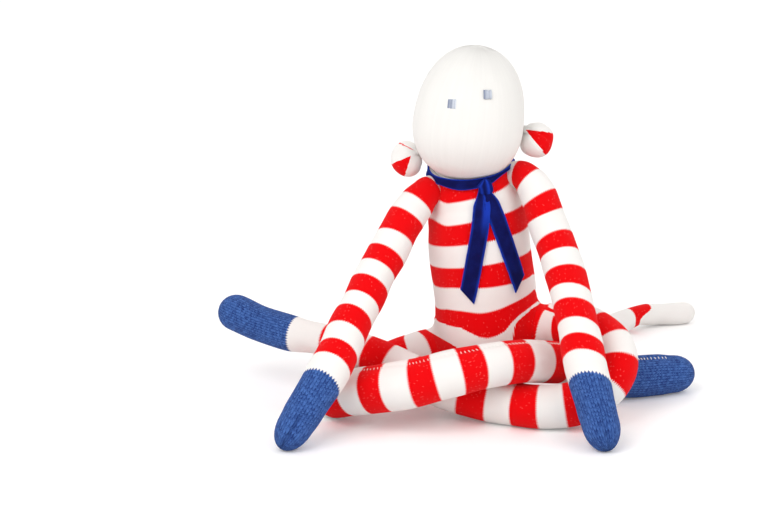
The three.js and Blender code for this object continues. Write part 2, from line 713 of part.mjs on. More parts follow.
function buildLegs() {
  const sweep = torsoSweep();
  for (const [side, leg] of Object.entries(legs)) {
    const other = legs[side === "right" ? "left" : "right"];
    const knee = kneeStation[side];
    const ankle = footStation[side];
    const rim = ankle - rimHeight(leg.radiusAt(ankle), FOOT_BEND);
    const ankleRoom = ball(leg.frameAt(ankle).centre, leg.radiusAt(ankle) + GAP);
    const crossing = side === "right" ? other.tube({ inset: -GAP, from: HIP_LENGTH }) : null;
    const room = crossing ? sweep.add(FLOOR).add(crossing) : sweep.add(FLOOR);
    const thigh = { to: knee, start: "flat", end: "flat" };
    const shin = { from: knee + GAP, to: rim, start: "flat", end: "flat" };
    const foot = { from: ankle };
    const both = { start: "open", end: "open" };
    const stripes = striped(leg, STRIPES.leg);
    const thighSkin = skinOf(leg, thigh, both).subtract(room);
    const shinSkin = skinOf(leg, shin, both).subtract(room).subtract(ankleRoom);
    const footSkin = skinOf(leg, foot, {}).subtract(rootHole(leg, ankle)).subtract(FLOOR);
    addMesh(side + "_thigh", geometryOf(thighSkin), RED, 0.9, stripes);
    addMesh(side + "_shin", geometryOf(shinSkin), RED, 0.9, stripes);
    addMesh(side + "_foot", geometryOf(footSkin), BLUE, 0.9);
    const inside = { inset: CLOTH + GAP, lining: true };
    const legStuffing = leg.tube({ ...inside, to: rim, start: "flat", end: "flat" });
    addMesh(side + "_leg_stuffing", geometryOf(legStuffing.subtract(room).subtract(ankleRoom)), STUFFING, 1);
    const footStuffing = leg.tube({ ...foot, ...inside }).subtract(FLOOR);
    addMesh(side + "_foot_stuffing", geometryOf(footStuffing), STUFFING, 1);
  }
  buildSeams();
}

/** The hand-sewn seam along the inside of each leg, where it shows. */
function buildSeams() {
  for (const [name, { side, from, to, way }] of Object.entries(SEAMS)) {
    const thread = ladderThread(legs[side], from, to, new THREE.Vector3(...way));
    addMesh(name, thread, WHITE, 0.8);
  }
}

/** The middle of the tail's root, which rests on the back of the seat. */
function tailRoot() {
  const away = SEAT_RADIUS + GAP + TAIL_ROOT_RADIUS;
  return SEAT_CENTRE.clone().addScaledVector(TAIL_DIRECTION, away);
}

function buildTail() {
  const tail = new Form([[...tailRoot().toArray(), TAIL_ROOT_RADIUS], ...TAIL_POINTS]);
  tail.sides = TAIL_SIDES;
  const skin = skinOf(tail, {}, {}).subtract(rootHole(tail, 0)).subtract(FLOOR);
  const stuffing = tail.tube({ inset: CLOTH + GAP, lining: true }).subtract(FLOOR);
  const colourOf = (place) => {
    const station = tail.nearestStation(place);
    return station > TAIL_RED.from && station < TAIL_RED.to ? RED : WHITE;
  };
  addMesh("tail_skin", geometryOf(skin), WHITE, 0.9, colourOf);
  addMesh("tail_stuffing", geometryOf(stuffing), STUFFING, 1);
}

/** The collar, its knot at the front and two tails that lie on the belly. */
function buildRibbon() {
  addMesh("ribbon_collar", geometryOf(collarSolid(0)), NAVY, 0.7);
  const [width, depth, height] = KNOT_SIZE;
  const knot = new THREE.SphereGeometry(0.5, 12, 8);
  knot.scale(width, depth, height);
  const away = COLLAR_RADIUS + RIBBON_THICKNESS + depth / 2 + GAP;
  knot.translate(0, -away, 0).rotateZ(THREE.MathUtils.degToRad(KNOT_TURN));
  knot.applyMatrix4(collarPlacement());
  addMesh("ribbon_knot", geometryOf(solidOf(knot)), NAVY, 0.7);
  for (const [side, shape] of Object.entries(RIBBON_TAILS)) {
    addMesh("ribbon_tail_" + side, geometryOf(ribbonTail(shape)), NAVY, 0.7);
  }
}

/** The torso's station at a height, and its angle that faces front, turned by degrees. */
function bellyPlace(height, degrees) {
  const station = torso.nearestStation(torsoPointAt(height));
  const turn = THREE.MathUtils.degToRad(degrees);
  const way = new THREE.Vector3(Math.sin(turn), -Math.cos(turn), 0);
  return { station, angle: torso.angleTowards(station, way) };
}

/** The point of the torso's line at a height. */
function torsoPointAt(height) {
  const line = torso.curve.getSpacedPoints(LINE_STEPS);
  return line.find((point) => point.z >= height) ?? line[LINE_STEPS];
}

/** A flat strip that leaves the knot narrow, opens to the ribbon's width and lies on the belly. */
function ribbonTail({ top, end, foot }) {
  const rings = [];
  const length = RIBBON_TAIL_TOP - foot;
  for (let i = 0; i <= RIBBON_TAIL_STEPS; i++) {
    const share = i / RIBBON_TAIL_STEPS;
    const height = RIBBON_TAIL_TOP - share * length;
    const turn = THREE.MathUtils.lerp(top, end, Math.pow(share, 0.8));
    const { station, angle } = bellyPlace(height, turn);
    const { point, out } = torso.surfaceAt(station, angle, 2 * GAP + RIBBON_THICKNESS / 2);
    const open = THREE.MathUtils.smoothstep(share * length, 0, RIBBON_TAIL_FLARE);
    const half = THREE.MathUtils.lerp(RIBBON_TAIL_WAIST, RIBBON_WIDTH, open) / 2;
    const side = new THREE.Vector3().crossVectors(torso.frameAt(station).tangent, out);
    const thick = RIBBON_THICKNESS / 2;
    const corners = [[half, thick], [-half, thick], [-half, -thick], [half, -thick]];
    rings.push(corners.map(([x, y]) => point.clone().addScaledVector(side, x).addScaledVector(out, y)));
  }
  const middle = (ring) => ring.reduce((sum, p) => sum.add(p), new THREE.Vector3()).divideScalar(4);
  return lofted(rings, middle(rings[0]), middle(rings[RIBBON_TAIL_STEPS]));
}

buildHead();
buildEyes();
buildEars();
buildTorso();
buildArms();
buildLegs();
buildTail();
buildRibbon();

// Where the soft joints turn, for whoever poses the monkey
monkey.userData.pivots = {
  seat: SEAT_CENTRE,
  head: HEAD_CENTRE,
  neck_axis: neckAxis,
  right_shoulder: arms.right.frameAt(0).centre,
  left_shoulder: arms.left.frameAt(0).centre,
  right_elbow: arms.right.frameAt(ELBOW_STATION).centre,
  left_elbow: arms.left.frameAt(ELBOW_STATION).centre,
  right_ankle: legs.right.frameAt(RIGHT_FOOT_STATION).centre,
  left_ankle: legs.left.frameAt(LEFT_FOOT_STATION).centre,
  right_raise_axis: raiseAxis(arms.right),
  left_raise_axis: raiseAxis(arms.left),
  right_ear: earRoot("right"),
  left_ear: earRoot("left"),
  tail: tailRoot(),
  ribbon_tails: torso.surfaceAt(...Object.values(bellyPlace(RIBBON_TAIL_TOP, KNOT_TURN)), 2 * GAP).point,
};

export default monkey;
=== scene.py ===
"""A seated sock monkey in striped knit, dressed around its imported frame. Metres, +Z up, facing -Y."""
import math

import bpy
import numpy as np
from mathutils import Matrix


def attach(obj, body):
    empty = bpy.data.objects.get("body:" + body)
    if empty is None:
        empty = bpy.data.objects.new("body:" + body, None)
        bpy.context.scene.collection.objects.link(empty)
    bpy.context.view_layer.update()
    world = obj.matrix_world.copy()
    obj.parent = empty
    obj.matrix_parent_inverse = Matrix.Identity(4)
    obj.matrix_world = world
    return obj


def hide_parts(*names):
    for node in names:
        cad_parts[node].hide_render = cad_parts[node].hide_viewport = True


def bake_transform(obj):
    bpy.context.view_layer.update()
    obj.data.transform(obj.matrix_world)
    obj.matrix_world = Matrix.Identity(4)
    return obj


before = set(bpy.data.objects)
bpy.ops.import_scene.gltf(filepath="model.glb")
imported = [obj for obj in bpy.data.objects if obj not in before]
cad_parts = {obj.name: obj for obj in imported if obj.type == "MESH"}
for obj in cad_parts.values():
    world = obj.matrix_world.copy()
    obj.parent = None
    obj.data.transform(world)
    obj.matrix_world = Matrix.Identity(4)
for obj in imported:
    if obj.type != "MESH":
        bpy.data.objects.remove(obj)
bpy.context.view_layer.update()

MM = 0.001
DOWN = (0, 0, -1)
BESIDE_DOWN = (0, 0.7265, -1)
SIDEWAYS = (1, 0, 0)

# Colours as linear shares of red, green and blue
RED = (0.84, 0.0, 0.002, 1)
RED_FLECK = (0.93, 0.20, 0.18, 1)
WHITE = (0.93, 0.905, 0.875, 1)
WARM_PATCH = (0.90, 0.85, 0.80, 1)
HEAD_WHITE = (0.92, 0.90, 0.865, 1)
# Painted shade: the warm darker tone under the head's chin
CHIN_SHADE_COLOUR = (0.90, 0.76, 0.71, 1)
BLUE_LIGHT = (0.10, 0.24, 0.66, 1)
# The dark end of the blue heather, also used as painted shade in the rib grooves
BLUE_DARK = (0.008, 0.026, 0.15, 1)
VELVET = (0.002, 0.003, 0.06, 1)
# Painted highlight: the lighter pile of the ribbon's edges and lit folds
VELVET_HIGHLIGHT = (0.008, 0.04, 0.42, 1)
VELVET_SHEEN = (0.02, 0.10, 0.75, 1)
THREAD = (0.88, 0.86, 0.82, 1)
THREAD_SHADE = (0.70, 0.67, 0.62, 1)
EYE_PALE = (0.72, 0.75, 0.80, 1)
EYE_DEEP = (0.05, 0.09, 0.22, 1)
FLOOR_WHITE = (0.93, 0.92, 0.915, 1)
FLOOR_GRAIN = (0.90, 0.89, 0.885, 1)

# Knit, in millimetres: width of a wale, height of a course, depth of the relief
WALE = 1.45
COURSE = 1.0
RELIEF = 0.18
RIB_PITCH = 2.1
RIB_COURSE = 1.5
RIB_RELIEF = 0.4
RIB_DEPTH = 0.1  # of the ribs of the hands and feet, as real relief
TOOTH = 1.4  # how far a colour change steps up and down from wale to wale
RIB_TOOTH = 1.8
STRIPE_WIDTH = 16
FIBRE = (0.5, 3.0, 0.7)  # size, detail and roughness of the noise that stands for fibres
FIBRE_RELIEF = 0.08
FLECK_FROM = 0.985  # the share of the red stitches that have no pale fleck

# Skin meshes
RING_STEP = 1.6
SIDES = 120
CAP_RINGS = 8
CONTACT_GAP = 0.25
HEAD_NOD_ROOM = 0.9  # left for the head over the torso, under the ribbon
FLOOR_GAP = 0.15
HIP_FILLET = 9
HIP_REACH = 85
JOIN_ROUNDS = 5
JOIN_DEPTH = 4  # how deep in another form a skin still follows the soft join
CHUNK = 3000  # points measured against a line at once
# Height, size and seed of the uneven filling of each form
LUMPS = {
    "torso": (0.45, 38, 11), "right_arm": (0.35, 30, 21), "left_arm": (0.35, 30, 22),
    "right_leg": (0.4, 32, 31), "left_leg": (0.4, 32, 32), "tail": (0.4, 20, 41),
}

# Sewing
STITCH_RADIUS = 0.25
STITCH_PITCH = 2.5
STITCH_REACH = 1.2
SEAM_DEPTH = 0.7
SEAM_WIDTH = 1.6
# Each open seam: its form and body, where it starts and ends, the way it faces, lean and size of stitches
SEAMS = {
    "right_leg": ("right_leg", "crossed_legs", 146, 330, (0, -0.26, 0.97), 0.3, 1.0),
    "right_foot": ("right_leg", "right_foot", 388, 420, (0, -0.2, 1), 0.1, 1.15),
    "left_leg": ("left_leg", "crossed_legs", 143, 203, (0, 1, 0.4), 0.3, 1.0),
}
HAND_SEAM_WAYS = {"right": (0.1, -0.9, 0.45), "left": (0.15, -0.95, 0.3)}
THREAD_SIDE = (0.31, 0.17, 0.93)  # a way that no thread runs
THREAD_TWIST = 1.1

# Forms in millimetres: the way that angle 0 faces, then x, y, z and radius from the root to the tip
FORMS = {
    "right_arm": (DOWN, [
        (-27, 14, 147.5, 7.5), (-33, 9, 148.3, 8), (-39, 3, 148.3, 9), (-45.3, -3.7, 146, 10.6),
        (-52, -9.5, 140, 12.3), (-61, -18.5, 129, 13), (-69, -31, 116, 13.5), (-79, -45, 101.5, 13.5),
        (-88, -59, 86.5, 13.7), (-98, -73, 70.5, 14.1), (-108, -87.5, 52, 14.3), (-118, -98, 37, 13.7),
        (-127, -106.3, 24, 13), (-133, -111.5, 15.7, 12.3),
    ]),
    "left_arm": (DOWN, [
        (8, 7, 152, 8.2), (15.5, 3, 157, 9.2), (22.5, -3, 157.3, 10.3), (28, -9.5, 152.3, 11.7),
        (32.3, -15.5, 143.5, 12.7), (37, -22, 130, 13.4), (43, -35, 116.5, 13.7), (48, -47, 102.5, 13.7),
        (52, -59, 88.5, 13.8), (56, -72, 72.5, 13.8), (59, -84, 57.5, 14.2), (63, -96, 41, 14.2),
        (67, -106, 26.5, 13.2), (70, -112, 17, 12.6),
    ]),
    "left_leg": (BESIDE_DOWN, [
        (8, 4, 31, 16.5), (20, 0, 39, 16.5), (37, -7, 49.5, 15.5), (52, -18, 55, 15), (68, -32, 57, 15),
        (80, -47, 50, 15.2), (83, -59, 40, 15.3), (74, -69, 27, 15.2), (56, -73, 18, 15.2),
        (32, -71, 14.7, 15.1), (5, -62, 15, 14.8), (-26, -53, 19, 14.5), (-49, -45, 25.5, 13.8),
        (-73, -33, 34.5, 12.6), (-98, -21, 41, 11.8), (-120, -10, 43, 11.2), (-140, 1, 43.3, 12.6),
        (-161, 13, 46.3, 12.4), (-178, 22.5, 51.2, 12.8),
    ]),
    "right_leg": (DOWN, [
        (-6, 2, 27, 17), (-20, 2, 29.5, 17), (-41, 8, 27.5, 15.8), (-58, 11, 22.5, 14.8),
        (-77, 7.5, 17, 14.4), (-94, -4, 14.8, 14.6), (-107, -20, 14.3, 14.8), (-111, -37, 14.6, 15),
        (-106, -53, 17, 15.3), (-91, -67, 24, 16.1), (-70, -78, 31, 16.4), (-50, -83, 36.5, 16.3),
        (-30, -83, 42, 16), (-7, -77, 45.5, 15.3), (18, -64, 44.5, 14.9), (39, -47, 38, 14.3),
        (59, -29, 28.5, 13.3), (79, -17, 18, 13.6), (98, -9, 14.6, 14.6), (116, -3.5, 14, 14.2),
        (128, 0.5, 13.2, 13.2),
    ]),
    "torso": (SIDEWAYS, [
        (0, 0, 34, 34.5), (-2.5, 1.5, 50, 36.3), (-4, 4, 70, 35.6), (-6, 5.5, 90, 35.2),
        (-8.2, 7, 108, 35.3), (-10, 8.5, 124, 34.3), (-12, 10, 139, 31.6), (-14, 11, 152, 28.9),
        (-15, 11.5, 160, 28.6), (-15.5, 11.5, 165.5, 28),
    ]),
    "tail": (DOWN, [
        (14.2, 34, 11.3, 8.5), (32, 62, 9, 8.8), (60, 92, 8.6, 8.6), (88, 117, 8.6, 8.5),
        (104, 131, 9.5, 8), (114, 139, 11.5, 7.4), (125, 147, 9.5, 8), (139, 152, 8, 8.2),
        (150, 155, 8, 7.8),
    ]),
}

# Where the forearms turn
ELBOWS = {"right": (-89.5, -61.1, 83.6), "left": (51.9, -58.6, 88.4)}

# Stations along each form where the cloth changes between white and red, and where a blue end starts
STRIPES = {
    "right_arm": [21.8, 37.2, 49.2, 67.8, 81.2, 93.8, 106.2, 119.8, 130.8, 144.2, 156.8, 167.8],
    "left_arm": [14, 25, 39, 52, 71.5, 83, 96, 110.5, 121, 135.5, 147, 158.5],
    "left_leg": [26, 39, 52, 66, 81.5, 97.5, 111.5, 128.5, 146.5, 161.5, 178.5, 195.5, 214.5, 234,
                 252.5, 271.5, 290, 307, 323.5, 339.5],
    "right_leg": [18, 32.5, 48, 67, 86, 102.5, 118.5, 134.5, 150.5, 166.5, 182, 197, 214.5, 230,
                  246, 261, 277.5, 293.5, 311, 327, 343, 361],
    "torso": [15, 31, 50, 64.5, 79.5, 94, 110, 126],
}
BLUE_STARTS = {"right_arm": 181.2, "left_arm": 174.5, "left_leg": 363.5, "right_leg": 379}
ARM_BOW = 6.0  # how far the rings of an arm bow towards the hand
ARM_SLANTS = {"right": [0, 0, 0.8], "left": [-2, -2, 3.4]}  # of the rings, near the shoulder to below

# Heights where the cloth of the belly changes colour at the front, over the place across it: both
# edges of the lowest red ring, the lower of which frames the crotch, and the next one above. At the
# back they lie level, at the last number.
BELLY_EDGES = (
    ([-37.2, -28, -21, -15.3, -9.2, -3.2, 2.8, 8.6, 13.6, 19, 24.7, 29.2],
     [55.8, 56.6, 56.4, 54.3, 51.7, 51.1, 52.6, 55.5, 61, 65, 67, 68.5], 50),
    ([-38.7, -30.6, -20.9, -8.9, -2.8, 6.1, 11.6, 18.9, 26.4, 33],
     [64, 67.4, 68.5, 68.2, 69, 71.2, 73, 75, 76.6, 77.5], 66),
    ([-39.8, -27.9, -17.4, -2.3, 12.2, 28.6], [79.5, 83.3, 85.1, 86, 87.1, 87.5], 84),
)
HIP_SLANT = 0.65  # of the first rings of a leg
HIP_WHITE = ([18, 26, 36], [0.28, 0.22, 0.15])  # left between the belly's red and a thigh's, over x
THIGH_EDGE = (20.1, -0.575, -0.305)  # height of the right thigh's first red, and its change over x and y
LEG_BELOW = -0.12  # the belly's phase under which a leg's stripes start
RINGS_ABOVE = 2.35  # the belly's phase over which the torso's own rings start

# Head
HEAD_RADIUS = 38.3
HEAD_CROWN = 55.6
HEAD_CHIN = 39.4
CROWN_FULLNESS = 2.12
HEAD_CENTRE = np.array((-16.8, 4, 192.0))
HEAD_LEAN = math.radians(7)
EYES = {"right": (5.9, 6.6, 8, 0.75), "left": (5.8, 5.6, 3, 0.45)}  # width, height, tilt in degrees, shade
EYE_SPACING = 24.6
EYE_LEVEL = 25.8
EYE_ASIDE = -2.8  # how far both lie towards the right ear
FACE_ROLL = math.radians(21.5)
EYE_THREADS = 9
EYE_THREAD_RADIUS = 0.42

# Ears: root seen from the head's centre, the way the disc points, and where it is red. That is a wedge
# between two directions in degrees, with a thin line on the right ear. Both start at a point given
# from the ear's middle, outward and up as the photo shows it.
EAR_RADIUS = 12.5
EAR_FLATNESS = 0.85
EAR_ROOT = 2.2
EAR_FOLDS = 9
EARS = {
    "right": {"root": (-34.3, 1, -18.6), "way": (-0.47, 0.66, -0.58),
              "apex": (-2.8, 1.7), "low": -72, "high": -22},
    "left": {"root": (39.7, 2, -4.6), "way": (0.57, 0.50, -0.65),
             "apex": (-8, 6.6), "low": -50.4, "high": -6.3},
}
EAR_LINE = {"apex": (-9.1, 3.1), "angle": 28, "half": 1.7, "reach": 16.7}
SEEN_UP = np.array((0, 0.292, 0.956))
TO_CAMERA = (0, -0.956, 0.292)

# Velvet ribbon
RIBBON_WIDTH = 12
RIBBON_THICKNESS = 0.8
COLLAR_HEIGHT = 7.5
COLLAR_RADIUS = 29.1
COLLAR_SLOPE = 0.9  # how much wider the band is below than above
COLLAR_CENTRE = np.array((-14.8, 10.5, 161.0))
COLLAR_DIP = math.radians(9)
COLLAR_ROLL = math.radians(8)
KNOT_SIZE = (9.5, 5.5, 12.5)
KNOT_TURN = math.radians(16.5)
KNOT_DROP = 3.5
RIBBON_TAIL_TOP = 150
RIBBON_TAIL_WAIST = 5
RIBBON_TAIL_FLARE = 14
RIBBON_TAILS = {
    "right": {"top": 13, "end": -20, "foot": 78, "slant": 7, "wave": 0, "lit": 0.9},
    "left": {"top": 17, "end": 41.5, "foot": 82, "slant": -8, "wave": 2, "lit": 0},
}

# Floor, light and camera: a lamp has a name, a place, a size and a power
FLOOR_HALF = 6000
WORLD_STRENGTH = 0.70
LAMPS = (
    ("key", (-0.9, -1.1, 1.5), 1.3, 18.0),
    ("fill", (1.2, -0.8, 1.1), 1.4, 8.0),
    ("back", (0.2, 1.4, 1.3), 1.2, 6.0),
)
LAMP_TARGET = (0, 0, 0.1)
CAMERA_PLACE = (-0.0700, -2.0482, 0.7228)
CAMERA_TURN = math.radians(73)
LENS = 143.1


# Numbers and vectors


def smooth(share):
    """Rises from 0 to 1 and is level at both ends."""
    share = np.clip(share, 0, 1)
    return share * share * (3 - 2 * share)


def bell(share):
    return np.exp(-share ** 2)


def unit(vectors):
    vectors = np.asarray(vectors, float)
    return vectors / np.linalg.norm(vectors, axis=-1, keepdims=True)


def turn(axis, angle):
    return np.array(Matrix.Rotation(angle, 3, axis))


def circle(sides):
    return np.linspace(0, 2 * math.pi, sides, endpoint=False)


def wrap(angles):
    """The same angles within half a turn of 0."""
    return np.angle(np.exp(1j * angles))


def walk(points):
    """How far along a path each of its points lies."""
    return np.concatenate([[0], np.cumsum(np.linalg.norm(np.diff(points, axis=0), axis=1))])


def whole_wales(girth):
    return WALE * round(girth / WALE)


def push_out(points, centre, radius):
    """Moves points that lie inside a ball onto it."""
    away = points - centre
    far = np.linalg.norm(away, axis=1)
    return centre + away * (np.maximum(far, radius) / far)[:, None]


def around(turns, first, second):
    """Ways out from a line, from one way across it towards another."""
    return np.cos(turns)[:, None] * first[..., None, :] + np.sin(turns)[:, None] * second[..., None, :]


def lumps(points, size, seed):
    """Soft irregular waves about 1 high, the same on every run."""
    rng = np.random.default_rng(seed)
    ways = unit(rng.normal(size=(10, 3))) * (2 * math.pi / size)
    phases = rng.uniform(0, 2 * math.pi, len(ways))
    return np.sin(points @ ways.T + phases).sum(axis=-1) / math.sqrt(len(ways))


class Line:
    """A smooth line through given points, with a radius at each."""

    def __init__(self, rows, facing):
        rows = np.array(rows, float)
        points = rows[:, :3]
        ends = np.vstack([2 * points[0] - points[1], points, 2 * points[-1] - points[-2]])
        line, radii = [], []
        for i in range(len(points) - 1):
            share = np.linspace(0, 1, 41)[:41 if i == len(points) - 2 else 40]
            line.append(self.piece(ends[i:i + 4], share))
            radii.append(rows[i, 3] + (rows[i + 1, 3] - rows[i, 3]) * smooth(share))
        self.points = np.vstack(line)
        self.radii = np.concatenate(radii)
        self.walked = walk(self.points)
        self.length = self.walked[-1]
        self.facing = unit(facing)

    @staticmethod
    def piece(four, share):
        """A centripetal Catmull-Rom piece between the middle two of four points."""
        a, b, c, d = four
        first, middle, last = (np.linalg.norm(q - p) ** 0.5 for p, q in ((a, b), (b, c), (c, d)))
        leave = ((b - a) / first - (c - a) / (first + middle) + (c - b) / middle) * middle
        arrive = ((c - b) / middle - (d - b) / (middle + last) + (d - c) / last) * middle
        t = share[:, None]
        square, cube = t ** 2, t ** 3
        start = (2 * cube - 3 * square + 1) * b + (cube - 2 * square + t) * leave
        return start + (3 * square - 2 * cube) * c + (cube - square) * arrive

    def at(self, stations):
        return np.stack([np.interp(stations, self.walked, axis) for axis in self.points.T], -1)

    def radius(self, stations):
        return np.interp(stations, self.walked, self.radii)

    def frames(self, stations):
        """The ways along the line, across it on the side it faces, and across both."""
        stations = np.clip(np.asarray(stations, float), 0.6, self.length - 0.6)
        tangents = unit(self.at(stations + 0.5) - self.at(stations - 0.5))
        across = unit(self.facing - (tangents @ self.facing)[..., None] * tangents)
        return tangents, across, np.cross(tangents, across)

    def angle_towards(self, stations, way):
        _, across, along = self.frames(stations)
        return np.arctan2(along @ way, across @ way)


def stripe_scale(name):
    """Stations and the phases there: more rings before the first edge, none after the last."""
    edges = STRIPES[name]
    before = edges[0] - STRIPE_WIDTH * np.arange(8, 0, -1)
    known = np.concatenate([before, edges, [edges[-1] + STRIPE_WIDTH / 2]])
    phases = np.arange(len(known)) - 8.0
    phases[-1] -= 0.5
    return known, phases


def near_line(points, line, high=None, step=1.2):
    """Distance from each point to the surface round a line, the way out, and the station."""
    samples = np.arange(0, line.length if high is None else high, step)
    centres, radii = line.at(samples), line.radius(samples)
    gaps, ways, stations = [], [], []
    for part in np.array_split(points, max(1, len(points) // CHUNK)):
        apart = part[:, None, :] - centres[None, :, :]
        away = np.linalg.norm(apart, axis=2)
        nearest = (away - radii[None, :]).argmin(axis=1)
        row = np.arange(len(part))
        gap = away[row, nearest] - radii[nearest]
        gaps.append(gap)
        ways.append(apart[row, nearest] / np.maximum(away[row, nearest], 1e-6)[:, None])
        closeness = np.exp((gap[:, None] - away + radii[None, :]) / 1.5)
        stations.append((closeness * samples).sum(axis=1) / closeness.sum(axis=1))
    return np.concatenate(gaps), np.concatenate(ways), np.concatenate(stations)


class Skin:
    """A closed skin of rings round a line, shaped in millimetres before it becomes a mesh."""

    def __init__(self, name, sides=SIDES, end_length=1.0):
        self.name = name
        self.line = line = lines[name]
        self.sides = sides
        self.turns = circle(sides)
        self.girth = 2 * math.pi * float(np.mean(line.radii))
        self.layers = {}
        root, tip = line.radii[[0, -1]]
        middle = np.linspace(0, line.length, round(line.length / RING_STEP) + 1)
        angles = np.linspace(0, math.pi / 2, CAP_RINGS + 1)[1:-1]
        self.radius = np.concatenate([root * np.cos(angles[::-1]), line.radius(middle), tip * np.cos(angles)])
        # Over the round ends, stations follow the curve, so that stitches keep their size
        self.stations = np.concatenate([-root * angles[::-1], middle, line.length + tip * angles])
        on_line = np.clip(self.stations, 0, line.length)
        before, after = root * np.sin(angles[::-1]), tip * end_length * np.sin(angles)
        tangents, across, along = line.frames(on_line)
        centres = line.at(on_line) + np.concatenate([-before, 0 * middle, after])[:, None] * tangents
        self.out = around(self.turns, across, along)
        self.rings = centres[:, None, :] + self.out * self.radius[:, None, None]
        self.poles = np.array([centres[0] - tangents[0] * (root - before[0]),
                               centres[-1] + tangents[-1] * (tip * end_length - after[-1])])
        height, size, seed = LUMPS[name]
        self.swell(height * lumps(self.rings, size, seed))

    @property
    def points(self):
        return np.vstack([self.rings.reshape(-1, 3), self.poles])

    @points.setter
    def points(self, values):
        self.rings = values[:-2].reshape(self.rings.shape)
        self.poles = values[-2:]

    @property
    def point_stations(self):
        return np.concatenate([np.repeat(self.stations, self.sides), self.stations[[0, -1]]])

    def swell(self, amount):
        """Moves the rings out by millimetres, one number for each point of each ring."""
        self.rings = self.rings + self.out * amount[..., None]

    def crease(self, station, angle, depth, length, width):
        """A soft fold across the form: at a station and an angle, `length` round and `width` along."""
        away = wrap(self.turns - angle) * self.radius[:, None]
        self.swell(-depth * bell((self.stations[:, None] - station) / width) * bell(away / length))

    def groove(self, start, end, way, depth=SEAM_DEPTH, width=SEAM_WIDTH):
        """The shallow valley of a sewn seam along the form, on the side that faces a way."""
        angle = self.line.angle_towards(self.stations, way)
        away = wrap(self.turns - angle[:, None]) * self.radius[:, None]
        inside = smooth((self.stations - start) / 4) * smooth((end - self.stations) / 4)
        self.swell(-depth * bell(away / width) * inside[:, None])

    def press(self, other, share=0.5, soft=1.2, step=1.5):
        """Yields to another form where the two would share space."""
        points = self.points
        samples = np.arange(0, other.length, step)
        centres, reach = other.at(samples), other.radius(samples).max() + 2
        above, below = points > centres.min(axis=0) - reach, points < centres.max(axis=0) + reach
        near = (above & below).all(axis=1)
        gap, ways, _ = near_line(points[near], other, step=step)
        deep = (CONTACT_GAP - gap) / soft
        move = np.where(deep < -4, 0, share * soft * np.logaddexp(0, deep))
        points[near] += ways * move[:, None]
        self.points = points

    def join_softly(self, other, high=None, lift=0.0, width=HIP_FILLET):
        """Moves the skin onto a rounded union of its own form and another, as cloth spans a crotch."""
        points = self.points
        gap, _, _ = near_line(points, other, high)
        near = (gap < width) & (gap > -JOIN_DEPTH)
        start = points[near]
        place = start.copy()
        for _ in range(JOIN_ROUNDS):
            a, way_a, _ = near_line(place, self.line)
            b, way_b, _ = near_line(place, other, high)
            share = np.clip(1 - np.abs(a - b) / width, 0, None)
            level = np.minimum(a, b) - share ** 2 * width / 4 - lift
            first = np.where(a < b, 1 - share / 2, share / 2)[:, None]
            slope = first * way_a + (1 - first) * way_b
            place -= slope * (level / np.maximum((slope ** 2).sum(axis=1), 0.2))[:, None]
        points[near] = start + (place - start) * smooth(gap[near] / JOIN_DEPTH + 1)[:, None]
        self.points = points

    def rest(self):
        """Rests on the floor, flat below."""
        points = self.points
        points[:, 2] = np.maximum(points[:, 2], FLOOR_GAP)
        self.points = points

    def stripes(self, shift=0.0):
        """Where the cloth changes colour, as a phase that passes a whole number at each edge."""
        stations = self.stations[:, None] + np.zeros(self.sides) + shift
        whole = np.concatenate([stations.ravel(), stations[[0, -1]].mean(axis=1)])
        self.layers["stripe"] = np.interp(whole, *stripe_scale(self.name))
        self.layers["blue"] = whole - BLUE_STARTS[self.name]

    def rib(self):
        """Real ribs on the hands and feet, and a slightly thicker cloth there."""
        ribs = round(self.girth / RIB_PITCH)
        wave = np.abs(np.cos(self.turns * ribs / 2)) ** 0.7
        on = smooth((self.stations - BLUE_STARTS[self.name]) / 2.5) * smooth((self.radius - 2) / 4)
        self.swell(RIB_DEPTH * (wave - 0.4) * on[:, None])

    def spot(self, station, angle, lift=0.0):
        """A point over the finished skin, and the way out there."""
        i = float(np.interp(station, self.stations, np.arange(len(self.stations))))
        j = angle % (2 * math.pi) / (2 * math.pi) * self.sides
        i0, j0 = min(int(i), len(self.stations) - 2), int(j) % self.sides
        j1 = (j0 + 1) % self.sides
        a, b = i - i0, j - int(j)
        corner, beside, beyond, last = self.rings[[i0, i0, i0 + 1, i0 + 1], [j0, j1, j0, j1]]
        point = (1 - a) * ((1 - b) * corner + b * beside) + a * ((1 - b) * beyond + b * last)
        out = unit(np.cross(unit(beside - corner), unit(beyond - corner)))
        return point + out * lift, out


# Meshes


def new_object(name, data):
    piece = bpy.data.objects.new(name, data)
    bpy.context.scene.collection.objects.link(piece)
    return piece


def new_mesh(name, points, faces, layers, uv=None):
    mesh = bpy.data.meshes.new(name)
    mesh.from_pydata((np.asarray(points) * MM).tolist(), [], faces)
    for key, values in layers.items():
        mesh.attributes.new(key, "FLOAT", "POINT").data.foreach_set("value", np.asarray(values, np.float32))
    if uv is not None:
        mesh.uv_layers.new(name="cloth").data.foreach_set("uv", np.asarray(uv, np.float32).ravel())
    mesh.polygons.foreach_set("use_smooth", [True] * len(mesh.polygons))
    mesh.update()
    return new_object(name, mesh)


def quads(rows, columns, closed_rows=False):
    """Faces over rows of points, each row closed to a ring."""
    i, j = np.meshgrid(np.arange(rows if closed_rows else rows - 1), np.arange(columns), indexing="ij")
    here, below = i * columns, (i + 1) % rows * columns
    beside = (j + 1) % columns
    return np.stack([here + j, here + beside, below + beside, below + j], -1).reshape(-1, 4)


